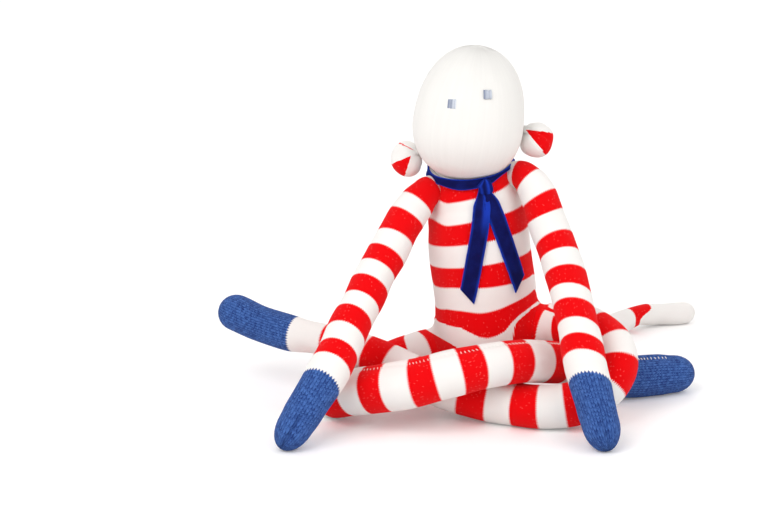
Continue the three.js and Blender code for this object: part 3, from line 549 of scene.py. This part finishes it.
def ring_mesh(name, rings, poles, stations, girth, layers):
    """A closed mesh of rings with a point at each end. Its map is in millimetres: round, along."""
    count, sides = rings.shape[:2]
    faces = quads(count, sides).tolist()
    ring, side = np.meshgrid(np.arange(count - 1), np.arange(sides), indexing="ij")
    across = np.stack([side, side + 1, side + 1, side], -1)
    along = stations[np.stack([ring, ring, ring + 1, ring + 1], -1)]
    uv = [np.stack([across * girth / sides, along], -1).reshape(-1, 2)]
    around = np.arange(sides)
    for pole, row, over, order in ((count * sides, 0, -1, (0, 2, 1)),
                                   (count * sides + 1, count - 1, 1, (0, 1, 2))):
        start = row * sides
        corners = np.stack([np.full(sides, pole), start + around, start + (around + 1) % sides], -1)
        faces += corners[:, order].tolist()
        across = np.stack([around + 0.5, around, around + 1], -1) * girth / sides
        along = stations[row] + np.tile((over, 0, 0), (sides, 1))
        uv.append(np.stack([across, along], -1)[:, order].reshape(-1, 2))
    return new_mesh(name, np.vstack([rings.reshape(-1, 3), poles]), faces, layers, np.vstack(uv))


def threads(name, paths, radius, shades, sides=6):
    """One mesh of short round threads with closed ends, each with its own shade."""
    points, faces = [], []
    for path in np.array(paths):
        tangents = unit(np.gradient(path, axis=0))
        side = unit(np.cross(tangents, unit(THREAD_SIDE)))
        ring = around(circle(sides), side, np.cross(tangents, side))
        widths = np.full(len(path), radius)
        widths[[0, -1]] *= 0.6
        start, last = len(points) * ring[..., 0].size, (len(path) - 1) * sides
        points.append((path[:, None, :] + widths[:, None, None] * ring).reshape(-1, 3))
        more = quads(len(path), sides).tolist() + [list(range(sides))[::-1], list(range(last, last + sides))]
        faces += [[start + i for i in face] for face in more]
    return new_mesh(name, np.vstack(points), faces, {"shade": np.repeat(shades, len(points[0]))})


# Materials


class Nodes:
    """Adds nodes to a new material and links them."""

    def __init__(self, name):
        self.material = bpy.data.materials.new(name)
        self.material.use_nodes = True
        self.tree = self.material.node_tree
        self.shader = self.tree.nodes["Principled BSDF"]

    def link(self, source, target):
        if isinstance(source, (int, float, tuple)):
            target.default_value = source
        else:
            self.tree.links.new(source, target)

    def fill(self, node, inputs):
        for key, value in inputs.items():
            self.link(value, node.inputs[key])

    def add(self, kind, inputs, **values):
        node = self.tree.nodes.new(kind)
        for key, value in values.items():
            setattr(node, key, value)
        self.fill(node, inputs)
        return node

    def math(self, operation, a, b=0.0, c=0.0):
        return self.add("ShaderNodeMath", {0: a, 1: b, 2: c}, operation=operation).outputs[0]

    def plus(self, a, b):
        return self.math("ADD", a, b)

    def times(self, a, b):
        return self.math("MULTIPLY", a, b)

    def ramp(self, source, factor, base):
        return self.math("MULTIPLY_ADD", source, factor, base)

    def attribute(self, name):
        return self.add("ShaderNodeAttribute", {}, attribute_name=name).outputs["Fac"]

    def mix(self, share, a, b):
        return self.add("ShaderNodeMix", {0: share, 6: a, 7: b}, data_type="RGBA").outputs[2]

    def blend(self, share, a, b):
        return self.add("ShaderNodeMix", {0: share, 2: a, 3: b}, data_type="FLOAT").outputs[0]

    def place(self):
        return self.add("ShaderNodeTexCoord", {}).outputs["Object"]

    def noise(self, size, detail=2.0, roughness=0.5):
        """Noise with features about `size` millimetres across, fixed to the object."""
        inputs = {"Scale": 1 / (size * MM), "Detail": detail, "Roughness": roughness, "Vector": self.place()}
        return self.add("ShaderNodeTexNoise", inputs).outputs[0]

    def cell(self, column, row, seed):
        """A random number for each stitch."""
        inputs = {0: self.math("FLOOR", column), 1: self.math("FLOOR", row), 2: seed}
        place = self.add("ShaderNodeCombineXYZ", inputs).outputs[0]
        return self.add("ShaderNodeTexWhiteNoise", {0: place}, noise_dimensions="3D").outputs[0]

    def bump(self, height, depth):
        node = self.add("ShaderNodeBump", {"Strength": 1, "Distance": depth * MM, "Height": height})
        self.link(node.outputs[0], self.shader.inputs["Normal"])

    def finish(self, colour, roughness, sheen, tint=(1, 1, 1, 1), sheen_roughness=0.5, specular=0.25):
        self.fill(self.shader, {"Base Color": colour, "Roughness": roughness, "Sheen Weight": sheen,
                                "Sheen Tint": tint, "Sheen Roughness": sheen_roughness,
                                "Specular IOR Level": specular})
        return self.material


def deeper(colour, share):
    return tuple(share * part for part in colour[:3]) + (1,)


def stitches(nodes, wale, course):
    """Columns of V shaped stitches: where a point is in its wale, its course, and how high."""
    place = nodes.add("ShaderNodeUVMap", {}, uv_map="cloth").outputs[0]
    across, along, _ = nodes.add("ShaderNodeSeparateXYZ", {0: place}).outputs
    column = nodes.math("DIVIDE", across, wale)
    beside = nodes.math("ABSOLUTE", nodes.math("SUBTRACT", nodes.math("FRACT", column), 0.5))
    leg = nodes.times(beside, 2.0)
    row = nodes.plus(nodes.math("DIVIDE", along, course), nodes.times(leg, 0.9))
    strand = nodes.math("SINE", nodes.times(nodes.math("FRACT", row), math.pi))
    lobe = nodes.math("SINE", nodes.times(leg, math.pi))
    height = nodes.times(nodes.math("POWER", lobe, 0.6), nodes.ramp(strand, 0.5, 0.5))
    return column, row, leg, height


def knit(name, ribs, rib_pitch):
    """Striped knit. With ribs it turns to heathered blue, with painted shade in the grooves between ribs,
    where the `blue` attribute is positive.
    """
    nodes = Nodes(name)
    column, row, leg, height = stitches(nodes, WALE, COURSE)
    tooth = nodes.ramp(leg, TOOTH, -TOOTH / 2)
    stripe = nodes.plus(nodes.attribute("stripe"), nodes.math("DIVIDE", tooth, STRIPE_WIDTH))
    parity = nodes.math("FLOORED_MODULO", nodes.math("FLOOR", stripe), 2.0)
    red_here = nodes.math("LESS_THAN", parity, 0.5)
    fleck = nodes.cell(nodes.times(column, 3.0), nodes.times(row, 2.0), 3.0)
    fibre = nodes.noise(*FIBRE)
    patch = nodes.noise(22.0)
    red = nodes.mix(nodes.times(nodes.math("GREATER_THAN", fleck, FLECK_FROM), 0.55), RED, RED_FLECK)
    red = nodes.mix(nodes.ramp(fibre, 0.5, -0.15), red, deeper(RED, 0.80))
    pale = nodes.mix(nodes.ramp(fibre, 0.7, -0.15), WHITE, deeper(WHITE, 0.90))
    pale = nodes.mix(nodes.ramp(patch, 0.5, -0.15), pale, WARM_PATCH)
    colour = nodes.mix(red_here, pale, red)
    depth = nodes.times(height, RELIEF)
    if ribs:
        column, row, leg, height = stitches(nodes, rib_pitch, RIB_COURSE)
        edge = nodes.plus(nodes.attribute("blue"), nodes.ramp(leg, RIB_TOOTH, -RIB_TOOTH / 2))
        mask = nodes.math("GREATER_THAN", edge, 0.0)
        grain = nodes.cell(column, nodes.times(row, 2.0), 9.0)
        heather = nodes.ramp(grain, 0.5, nodes.times(nodes.noise(0.8, 4.0, 0.75), 0.75))
        # Painted shade: darker in the grooves between the ribs
        groove_shade = nodes.times(nodes.math("POWER", leg, 3.0), 0.34)
        tone = nodes.math("SUBTRACT", nodes.math("SUBTRACT", heather, 0.17), groove_shade)
        colour = nodes.mix(mask, colour, nodes.mix(tone, BLUE_DARK, BLUE_LIGHT))
        depth = nodes.blend(mask, depth, nodes.times(height, RIB_RELIEF))
    nodes.bump(nodes.plus(depth, nodes.times(fibre, FIBRE_RELIEF)), 1.0)
    return nodes.finish(colour, nodes.ramp(fibre, 0.1, 0.85), 0.03, specular=0.12)


def head_knit():
    nodes = Nodes("head_knit")
    column, row, _, height = stitches(nodes, WALE, COURSE)
    fibre = nodes.noise(*FIBRE)
    patch = nodes.noise(30.0)
    wale_shade = nodes.cell(column, nodes.times(row, 0.01), 5.0)
    shade = nodes.plus(nodes.times(wale_shade, 0.3), nodes.times(fibre, 0.5))
    colour = nodes.mix(shade, HEAD_WHITE, deeper(HEAD_WHITE, 0.93))
    # Painted shade: warm and darker under the chin, patchy in strength
    painted_chin_shade = nodes.times(nodes.attribute("chin"), nodes.ramp(patch, 0.5, 0.35))
    colour = nodes.mix(painted_chin_shade, colour, CHIN_SHADE_COLOUR)
    nodes.bump(nodes.plus(nodes.times(height, RELIEF), nodes.times(fibre, FIBRE_RELIEF)), 1.0)
    return nodes.finish(colour, nodes.ramp(fibre, 0.1, 0.85), 0.12)


def velvet():
    nodes = Nodes("velvet")
    pile = nodes.noise(0.35, 3.0, 0.7)
    brushed = nodes.noise(9.0)
    # The `edge` attribute is painted highlight: sheen on the ribbon's edges and on the knot's folds
    tone = nodes.plus(nodes.times(nodes.attribute("edge"), 0.9), nodes.ramp(pile, 0.3, -0.12))
    tone = nodes.plus(tone, nodes.ramp(brushed, 0.35, -0.16))
    colour = nodes.mix(tone, VELVET, VELVET_HIGHLIGHT)
    nodes.bump(pile, 0.12)
    return nodes.finish(colour, 0.8, 1.0, VELVET_SHEEN, 0.35, 0.1)


def twisted_thread(name, pale, deep):
    """Plied thread: its relief runs slantwise round it, and its colour varies with the fibres."""
    nodes = Nodes(name)
    fibre = nodes.noise(0.25, 3.0, 0.7)
    inputs = {"Scale": 1 / (THREAD_TWIST * MM) / 6, "Distortion": 1.5, "Vector": nodes.place()}
    wave = nodes.add("ShaderNodeTexWave", inputs, bands_direction="DIAGONAL")
    share = nodes.plus(nodes.attribute("shade"), nodes.ramp(fibre, 0.5, -0.2))
    nodes.bump(nodes.plus(wave.outputs["Fac"], fibre), 0.06)
    return nodes.finish(nodes.mix(share, pale, deep), 0.7, 0.1)


def paper_floor():
    nodes = Nodes("pale_floor")
    colour = nodes.mix(nodes.times(nodes.noise(1.6), 0.15), FLOOR_WHITE, FLOOR_GRAIN)
    path = nodes.add("ShaderNodeLightPath", {})
    seen = nodes.math("MAXIMUM", path.outputs["Is Camera Ray"], path.outputs["Is Glossy Ray"])
    nodes.fill(nodes.shader, {"Emission Color": (1, 1, 1, 1), "Emission Strength": nodes.times(seen, 0.12)})
    return nodes.finish(colour, 0.9, 0.0, specular=0.1)


def dress(piece, material):
    piece.data.materials.append(material)


# Body


COLLAR_AXES = turn("Y", -COLLAR_ROLL) @ turn("X", COLLAR_DIP)
lines = {name: Line(rows, facing) for name, (facing, rows) in FORMS.items()}
knits = {}


def knitted(skin, ribs):
    """The finished skin as a mesh, in knit whose wales or ribs close evenly round it."""
    pitch = skin.girth / round(skin.girth / RIB_PITCH)
    key = (round(pitch, 4), ribs)
    if key not in knits:
        knits[key] = knit(f"striped_knit_{len(knits)}", ribs, pitch)
    girth = skin.girth if ribs else whole_wales(skin.girth)
    piece = ring_mesh(skin.name, skin.rings, skin.poles, skin.stations, girth, skin.layers)
    dress(piece, knits[key])
    return piece


def belly_phases(points):
    """The rings round the lower belly. The phase is below 0 under the lowest red ring."""
    front = smooth((8 - points[:, 1]) / 14)
    low, top, after = (back + (np.interp(points[:, 0], xs, zs) - back) * front
                       for xs, zs, back in BELLY_EDGES)
    height = points[:, 2]
    return np.where(height < top, (height - low) / (top - low), 1 + (height - top) / (after - top))


def hip_phases(points, side, stations=None):
    """Rings of the belly above its lowest edge, and the stripes of a leg below it."""
    x, y, z = points.T
    belly_phase = belly_phases(points)
    _, _, at = near_line(points, lines[side + "_leg"], HIP_REACH)
    if stations is not None:
        share = smooth((stations - HIP_REACH + 30) / 20)
        at = at + (stations - at) * share
        belly_phase = belly_phase - 3 * share
    # The first rings of a leg slant, because the cloth of the thigh is drawn to the crotch
    slant = np.clip(y + 5, -6.5, 12) if side == "right" else z - 52
    at = at - HIP_SLANT * slant * (1 - smooth((at - 33) / 30))
    if side == "right":
        below = THIGH_EDGE[0] + THIGH_EDGE[1] * x + THIGH_EDGE[2] * y - z
        at = np.minimum(at, STRIPES["right_leg"][0] + 3 * below)
    leg_phase = np.interp(at, *stripe_scale(side + "_leg"))
    leg_phase = np.maximum(np.minimum(leg_phase, -6 * (belly_phase + np.interp(x, *HIP_WHITE))), -0.9)
    return np.where(belly_phase > LEG_BELOW, belly_phase, leg_phase)


def make_torso():
    skin = Skin("torso", end_length=0.15)
    points = skin.points
    over = (points - COLLAR_CENTRE) @ COLLAR_AXES[:, 2] - COLLAR_HEIGHT / 2 + 0.9
    points = points - np.clip(over, 0, None)[:, None] * COLLAR_AXES[:, 2]
    skin.points = push_out(points, HEAD_CENTRE, HEAD_CHIN + HEAD_NOD_ROOM)
    for side in ("right", "left"):
        skin.join_softly(lines[side + "_leg"], HIP_REACH, lift=0.15)
    skin.rest()
    points, stations = skin.points, skin.point_stations
    across = points[:, 0]
    hips = np.where(across < 0, hip_phases(points, "right"), hip_phases(points, "left"))
    # The rings climb towards the monkey's left, and more so at the sides of the chest
    lean = np.interp(stations, [50, 65, 94], [0.085, 0.03, 0.09]) * (across + 24)
    lean += 2.8 * smooth(across / 16) * smooth((stations - 105) / 15)
    lean += 5 * smooth((-30 - across) / 12) * np.interp(stations, [80, 98, 112, 125], [0, 1, 1, 0])
    rings = np.interp(stations - lean, *stripe_scale("torso"))
    skin.layers["stripe"] = np.where(hips > RINGS_ABOVE, np.maximum(rings, RINGS_ABOVE), hips)
    piece = knitted(skin, ribs=False)
    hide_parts("torso_skin", "torso_stuffing")
    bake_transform(piece)
    return skin


def make_arm(side):
    skin = Skin(side + "_arm", end_length=1.5)
    line, blue = skin.line, BLUE_STARTS[side + "_arm"]
    elbow = line.walked[np.linalg.norm(line.points - ELBOWS[side], axis=1).argmin()]
    front = line.angle_towards(elbow, (0, -0.7, 0.7))
    skin.crease(elbow, front + math.pi, depth=1.6, length=10, width=3.0)
    skin.crease(elbow + 45, front + 2.2, depth=0.8, length=9, width=3.5)
    skin.rib()
    skin.groove(blue + 27, blue + 58, HAND_SEAM_WAYS[side], depth=2.6, width=1.7)
    skin.rest()
    bow = ARM_BOW * smooth((skin.stations - 50) / 110)
    slant = np.interp(skin.stations, [20, 60, 110], ARM_SLANTS[side])
    skin.stripes(bow[:, None] * (skin.out @ unit(TO_CAMERA) - 0.6) - slant[:, None] * skin.out[..., 0])
    piece = knitted(skin, ribs=True)
    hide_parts(side + "_upper_arm", side + "_upper_arm_stuffing", side + "_forearm",
                side + "_forearm_stuffing", side + "_hand")
    start, end = line.at(elbow - 12), line.at(elbow + 12)
    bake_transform(piece)
    return skin


def make_leg(side):
    skin = Skin(side + "_leg", end_length=1.15 if side == "right" else 1.0)
    line, ankle = skin.line, BLUE_STARTS[side + "_leg"]
    if side == "right":
        for name, past in (("right_leg", 0), ("right_foot", 4)):
            _, _, start, end, way, _, _ = SEAMS[name]
            skin.groove(start - past, end + past, way)
    skin.rib()
    skin.press(lines["left_leg" if side == "right" else "right_leg"])
    skin.join_softly(lines["torso"])
    skin.rest()
    skin.stripes()
    stations = skin.point_stations
    root = stations < HIP_REACH
    skin.layers["stripe"][root] = hip_phases(skin.points[root], side, stations[root])
    piece = knitted(skin, ribs=True)
    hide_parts(side + "_thigh", side + "_shin", side + "_foot", side + "_leg_stuffing",
                side + "_foot_stuffing")
    start, end = line.at(ankle - 10), line.at(ankle + 6)
    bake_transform(piece)
    return skin


def make_tail():
    skin = Skin("tail", sides=96)
    skin.rest()
    # The red band widens towards the top of the tail
    top = smooth((skin.out[..., 2] + 0.2) / 1.1)
    first, last = 136 + 2 * top, 141 + 13 * top
    phase = (skin.stations[:, None] - first) / (last - first)
    skin.layers["stripe"] = np.concatenate([np.clip(phase, -0.5, 1.5).ravel(), [-0.5, 1.5]])
    piece = knitted(skin, ribs=False)
    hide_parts("tail_skin", "tail_stuffing")
    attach(piece, "tail")


skins = {"torso": make_torso()}
make_tail()
for side in ("right", "left"):
    skins[side + "_arm"] = make_arm(side)
    skins[side + "_leg"] = make_leg(side)


# Head and face


HEAD_AXES = turn("Y", HEAD_LEAN)


def head_girth(height):
    """The head's radius at a height over its widest level."""
    height = np.asarray(height, float)
    below = HEAD_RADIUS * np.sqrt(np.clip(1 - (np.minimum(height, 0) / HEAD_CHIN) ** 2, 0, None))
    share = np.clip(height / HEAD_CROWN, 0, 1)
    above = HEAD_RADIUS * (1 - share ** CROWN_FULLNESS) ** (1 / CROWN_FULLNESS)
    return np.where(height < 0, below, above)


def head_point(height, angle):
    """A point of the face and the way out: the angle is from straight ahead, to the monkey's left."""
    radius = head_girth(height)
    slope = (head_girth(height + 0.2) - head_girth(height - 0.2)) / 0.4
    out = unit(np.stack([np.sin(angle), -np.cos(angle), -slope], -1))
    local = np.stack([radius * np.sin(angle), -radius * np.cos(angle), height], -1)
    return HEAD_CENTRE + local @ HEAD_AXES.T, out @ HEAD_AXES.T


def make_head():
    turns = circle(180)
    low = np.linspace(-math.pi / 2, 0, 40)[1:-1]
    high = np.linspace(0, math.pi / 2, 60)[:-1]
    heights = np.concatenate([HEAD_CHIN * np.sin(low), HEAD_CROWN * np.sin(high)])
    radii = head_girth(heights)
    level = heights[:, None] + 0 * turns
    rings = np.stack([radii[:, None] * np.cos(turns), radii[:, None] * np.sin(turns), level], -1)
    # A faint seam under the chin
    chin = -0.80 * HEAD_RADIUS - 1.5 * np.sin(turns)
    facing_front = smooth((-rings[..., 1] / (radii[:, None] + 0.01) + 0.2) / 0.7)
    dent = 0.15 * bell((level - chin) / 2.5) * facing_front
    out = unit(rings * np.array((1, 1, 0.8)))
    rings = rings + out * (0.5 * lumps(rings, 55, 51) - dent)[..., None]
    poles = np.array([(0, 0, -HEAD_CHIN), (0, 0, HEAD_CROWN)])
    # Where the painted warm shade under the chin lies, as the `chin` layer
    under_chin_shade = smooth((-heights - 22) / 14)
    layers = {"chin": np.concatenate([np.repeat(under_chin_shade, len(turns)), [1, 0]])}
    piece = ring_mesh("head", HEAD_CENTRE + rings @ HEAD_AXES.T, HEAD_CENTRE + poles @ HEAD_AXES.T,
                      walk(np.stack([radii, heights], -1)), whole_wales(2 * math.pi * HEAD_RADIUS), layers)
    dress(piece, head_knit())
    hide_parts("head_skin", "head_stuffing")
    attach(piece, "head")


def make_eyes():
    """Satin stitch squares: upright threads side by side on the head, darker towards one edge."""
    material = twisted_thread("eye_thread", EYE_PALE, EYE_DEEP)
    for side, way in (("right", -1), ("left", 1)):
        width, height, tilt, dark = EYES[side]
        rng = np.random.default_rng(60 + way)
        across = EYE_ASIDE + way * EYE_SPACING * math.cos(FACE_ROLL) / 2
        level = EYE_LEVEL + way * EYE_SPACING * math.sin(FACE_ROLL) / 2
        radius = float(head_girth(level))
        tilt = math.radians(tilt)
        paths, shades = [], []
        for share in (np.arange(EYE_THREADS) + 0.5) / EYE_THREADS:
            along = (share - 0.5) * width
            low, high = height / 2 + rng.uniform(-0.2, 0.2, 2)
            up = np.linspace(-low, high, 12)
            x = along * math.cos(tilt) - up * math.sin(tilt)
            z = along * math.sin(tilt) + up * math.cos(tilt)
            lift = 0.4 * (1 - (np.abs(up) / (height / 2)) ** 6) - 0.05
            points, out = head_point(level + z, math.asin(across / radius) + x / radius)
            paths.append(points + out * lift[:, None])
            shades.append(dark * (1 - share) ** 1.5 + rng.uniform(-0.05, 0.3))
        piece = threads(side + "_eye_stitches", paths, EYE_THREAD_RADIUS, shades, sides=8)
        dress(piece, material)
        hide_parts(side + "_eye")
        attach(piece, "head")


def seen_from(apex, out, up):
    """Direction in degrees and distance of points seen from another."""
    out, up = out - apex[0], up - apex[1]
    return np.degrees(np.arctan2(up, out)), np.hypot(out, up)


def make_ear(side):
    ear = EARS[side]
    way = unit(ear["way"])
    root = HEAD_CENTRE + unit(ear["root"]) * (HEAD_RADIUS + EAR_ROOT)
    upright = unit(np.array((0, 0, 1.0)) - way[2] * way)
    facing = np.cross(way, upright)
    turns = circle(144)
    angles = np.linspace(math.asin(EAR_ROOT / EAR_RADIUS), math.pi, 48)[:-1]
    widths = np.concatenate([[EAR_ROOT * 1.35, EAR_ROOT * 1.05], EAR_RADIUS * np.sin(angles)])
    offsets = np.concatenate([[-EAR_ROOT * 1.1, -0.6], EAR_RADIUS * (1 - np.cos(angles))])
    flat = EAR_FLATNESS + (1 - EAR_FLATNESS) * smooth(1 - (widths - EAR_ROOT) / 5)
    flat = np.where(offsets > EAR_RADIUS, EAR_FLATNESS, flat)
    # Folds that run out from the gathered root and fade
    rng = np.random.default_rng(70 if side == "right" else 71)
    folds = np.zeros(len(turns))
    for _ in range(EAR_FOLDS):
        middle, width = rng.uniform(0, 2 * math.pi), rng.uniform(0.10, 0.22)
        folds -= rng.uniform(0.5, 1.0) * bell(wrap(turns - middle) / width)
    fade = smooth(1.15 - offsets / (1.5 * EAR_RADIUS)) * smooth((widths - 1.5) / 3)
    relief = 1.6 * folds * fade[:, None]
    high = (widths[:, None] + relief * 0.6) * np.cos(turns)
    thick = ((widths * flat)[:, None] + relief) * np.sin(turns)
    rings = root + offsets[:, None, None] * way + high[..., None] * upright + thick[..., None] * facing
    middle = root + EAR_RADIUS * way
    rings = rings + unit(rings - middle) * (0.3 * lumps(rings, 14, 72))[..., None]
    out, up = (rings - middle)[..., 0] * (-1 if side == "right" else 1), (rings - middle) @ SEEN_UP
    # How far inside the red each point lies, in stripe phases
    degrees, away = seen_from(ear["apex"], out, up)
    inside = np.minimum(np.minimum(degrees - ear["low"], ear["high"] - degrees) / 30, away / 8)
    if side == "right":
        degrees, away = seen_from(EAR_LINE["apex"], out, up)
        seam = (EAR_LINE["half"] - np.abs(degrees - EAR_LINE["angle"])) / 30
        inside = np.maximum(inside, np.minimum(seam, (EAR_LINE["reach"] - away) / 8))
    stripe = np.append(np.clip(-inside, -0.45, 0.45).ravel(), (0.45, 0.45)) + 1
    piece = ring_mesh(side + "_ear", rings, np.array([rings[0].mean(axis=0), middle + EAR_RADIUS * way]),
                      walk(np.stack([widths, offsets], -1)), whole_wales(1.6 * math.pi * EAR_RADIUS),
                      {"stripe": stripe})
    dress(piece, ear_material)
    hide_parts(side + "_ear_skin", side + "_ear_stuffing")
    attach(piece, side + "_ear")


ear_material = knit("ear_knit", False, RIB_PITCH)
make_head()
make_eyes()
for side in ("right", "left"):
    make_ear(side)


# Ribbon


velvet_material = velvet()


def make_collar():
    """The band round the neck, softly hollowed, with a rolled edge above and below."""
    turns = circle(160)
    half = COLLAR_HEIGHT / 2
    up = np.linspace(-1, 1, 9)
    down = up[::-1]
    outer = COLLAR_RADIUS - up * COLLAR_SLOPE + RIBBON_THICKNESS + 0.25 * np.abs(up) ** 3
    radius = np.concatenate([outer, COLLAR_RADIUS - down * COLLAR_SLOPE + 0.1])
    level = np.concatenate([up * half, down * (half - 0.1)])
    wave = 0.35 * np.sin(3 * turns + 1) + 0.2 * np.sin(7 * turns)
    # The lower edge rides up where the shoulders push the band, more at the monkey's left
    aside = COLLAR_RADIUS * np.sin(turns)
    ride_up = 3.2 * bell((aside + 25) / 11) + 4.6 * smooth((aside - 8) / 14)
    ride_up *= np.cos(turns) > 0
    height = level + wave[:, None] + ride_up[:, None] * (half - level) / (2 * half)
    local = np.stack([radius * np.sin(turns)[:, None], -radius * np.cos(turns)[:, None], height], -1)
    points = (COLLAR_CENTRE + local @ COLLAR_AXES.T).reshape(-1, 3)
    clear = np.repeat((RIBBON_THICKNESS, 0), len(up)) + HEAD_CHIN + 0.15
    points = push_out(points, HEAD_CENTRE, np.tile(clear, len(turns)))
    faces = quads(len(turns), len(level), closed_rows=True)[:, ::-1].tolist()
    # Painted highlight along the rolled edges, as sheen on the pile
    edge = smooth((np.abs(np.concatenate([up, down])) - 0.72) / 0.28)
    piece = new_mesh("ribbon_band", points, faces, {"edge": np.tile(edge, len(turns))})
    dress(piece, velvet_material)
    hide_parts("ribbon_collar")
    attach(piece, "torso")


def make_knot():
    """The knot: gathered ribbon with folds that run down it and a short loop beside it."""
    count, sides = 48, 96
    level = np.linspace(-1, 1, count + 2)[1:-1, None]
    turns = circle(sides)
    width, depth, height = (size / 2 for size in KNOT_SIZE)
    closed = np.clip(1 - np.abs(level) ** 3, 0, None) ** 0.5
    across = np.cos(turns)
    loop = 0.45 * bell((level - 0.35) / 0.28) * np.clip(-across, 0, None)
    folds = 1 - 0.38 * bell((across + 0.38) / 0.14) - 0.30 * bell((across - 0.45) / 0.12)
    x = width * closed * across * (1 - 0.22 * level + loop)
    y = depth * closed * np.sin(turns) * folds - (COLLAR_RADIUS + RIBBON_THICKNESS + depth * 0.6)
    z = height * level + 0 * turns - KNOT_DROP
    rings = COLLAR_CENTRE + np.stack([x, y, z], -1) @ turn("Z", KNOT_TURN).T @ COLLAR_AXES.T
    # Painted highlight: two bright bands down the folds, where the pile catches the light
    painted_highlight = 1.1 * bell((across - 0.25) / 0.3) + 0.7 * bell((across + 0.75) / 0.18)
    edge = np.append(np.tile(painted_highlight, count), (0, 0))
    piece = ring_mesh("ribbon_knot_fold", rings, rings[[0, -1]].mean(axis=1), np.arange(count) * 0.3, 20,
                      {"edge": edge})
    dress(piece, velvet_material)
    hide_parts("ribbon_knot")
    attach(piece, "torso")


def make_ribbon_tail(side):
    """A flat length of ribbon, gathered at the knot, cut slantwise at its end."""
    shape = RIBBON_TAILS[side]
    belly = skins["torso"]
    steps, columns = 60, 12
    middle, outs = [], []
    for share in np.arange(steps + 1) / steps:
        turned = math.radians(shape["top"] + (shape["end"] - shape["top"]) * share ** 1.15)
        wave = 0.5 * math.sin(share * 5 + shape["wave"]) * float(smooth(share * 3))
        height = RIBBON_TAIL_TOP - share * (RIBBON_TAIL_TOP - shape["foot"])
        station = float(np.interp(height, belly.line.points[:, 2], belly.line.walked))
        angle = belly.line.angle_towards(station, (math.sin(turned), -math.cos(turned), 0))
        point, out = belly.spot(station, angle, 1.1 + wave)
        middle.append(point)
        outs.append(out)
    middle, outs = np.array(middle), np.array(outs)
    ways = unit(np.gradient(middle, axis=0))
    across = unit(np.cross(outs, ways))
    walked = walk(middle)
    opened = smooth(walked / RIBBON_TAIL_FLARE)
    widths = RIBBON_TAIL_WAIST + (RIBBON_WIDTH - RIBBON_TAIL_WAIST) * opened
    # Round each cross section: the upper face from edge to edge, then the lower face back
    places = np.linspace(-1, 1, columns + 1)
    places = np.concatenate([places, places[::-1]])
    thick = np.repeat((RIBBON_THICKNESS / 2, -RIBBON_THICKNESS / 2), columns + 1)
    curl = 0.9 * (1 - opened)[:, None] * np.cos(places * math.pi * 1.5)
    slant = smooth((walked - walked[-1] + 14) / 14)[:, None] * shape["slant"] * places / 2
    points = (middle[:, None] + (widths[:, None] * places / 2)[..., None] * across[:, None]
              + (thick + curl)[..., None] * outs[:, None] + slant[..., None] * ways[:, None])
    # Painted highlight: the pile is painted lighter at the edges, as sheen, and where the knot turns the
    # ribbon to the light
    lit = shape["lit"] * smooth((38 - walked) / 24)[:, None] * smooth((places + 0.1) / 0.5)
    edge = np.maximum(smooth((np.abs(places) - 0.7) / 0.3), lit)
    round_count = len(places)
    faces = quads(steps + 1, round_count).tolist()
    for start, order in ((0, -1), (steps * round_count, 1)):
        for j in range(columns):
            under = round_count - 1 - j
            faces.append([start + k for k in (j, j + 1, under - 1, under)][::order])
    piece = new_mesh(f"ribbon_tail_{side}_velvet", points.reshape(-1, 3), faces, {"edge": edge.ravel()})
    dress(piece, velvet_material)
    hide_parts("ribbon_tail_" + side)
    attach(piece, "ribbon_tail_" + side)


make_collar()
make_knot()
for side in ("right", "left"):
    make_ribbon_tail(side)


# Sewing thread


thread_material = twisted_thread("white_thread", THREAD, THREAD_SHADE)


def ladder(name, on, body, start, end, way, lean, size):
    """Short stitches across a seam, pulled slightly slantwise."""
    skin = skins[on]
    rng = np.random.default_rng(81)
    shares = np.linspace(-1, 1, 9)
    lifts = 0.45 * (1 - shares ** 2) - 0.15
    paths = []
    station = start
    while station < end:
        angle = skin.line.angle_towards(station, way)
        reach = size * STITCH_REACH * rng.uniform(0.85, 1.15) / float(skin.line.radius(station))
        slant = lean + rng.uniform(-0.2, 0.2)
        paths.append([skin.spot(station + slant * share, angle + reach * share, lift)[0]
                      for share, lift in zip(shares, lifts)])
        station += STITCH_PITCH * rng.uniform(0.9, 1.1)
    piece = threads(name + "_stitches", paths, STITCH_RADIUS * size, [0.0] * len(paths))
    dress(piece, thread_material)
    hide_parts(name + "_seam_thread")
    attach(piece, body)


for name, seam in SEAMS.items():
    ladder(name, *seam)
for node in ("neck_seam_thread", "right_ear_gathering_thread", "left_ear_gathering_thread"):
    cad = bpy.data.objects[node]
    cad.data.materials.clear()
    cad.data.materials.append(thread_material)


# Floor, light and camera


def make_stage():
    corners = [(x * FLOOR_HALF, y * FLOOR_HALF, 0) for x, y in ((-1, -1), (1, -1), (1, 1), (-1, 1))]
    ground = new_mesh("floor", corners, [[0, 1, 2, 3]], {})
    ground.data.materials.append(paper_floor())
    world = bpy.data.worlds.new("studio")
    bpy.context.scene.world = world
    world.use_nodes = True
    background = world.node_tree.nodes["Background"]
    background.inputs["Color"].default_value = (1, 1, 1, 1)
    background.inputs["Strength"].default_value = WORLD_STRENGTH
    for name, place, size, power in LAMPS:
        light = bpy.data.lights.new(name, "AREA")
        light.size = size
        light.energy = power
        lamp = new_object(name, light)
        lamp.location = place
        x, y, z = np.array(LAMP_TARGET) - np.array(place)
        lamp.rotation_euler = (math.atan2(math.hypot(x, y), -z), 0, math.atan2(-x, y))


def make_camera():
    data = bpy.data.cameras.new("camera")
    data.sensor_width = 36
    data.lens = LENS
    data.clip_start = 0.05
    camera = new_object("camera", data)
    camera.location = CAMERA_PLACE
    camera.rotation_euler = (CAMERA_TURN, 0, 0)
    bpy.context.scene.camera = camera


make_stage()
make_camera()
bpy.context.scene.view_settings.view_transform = "Standard"
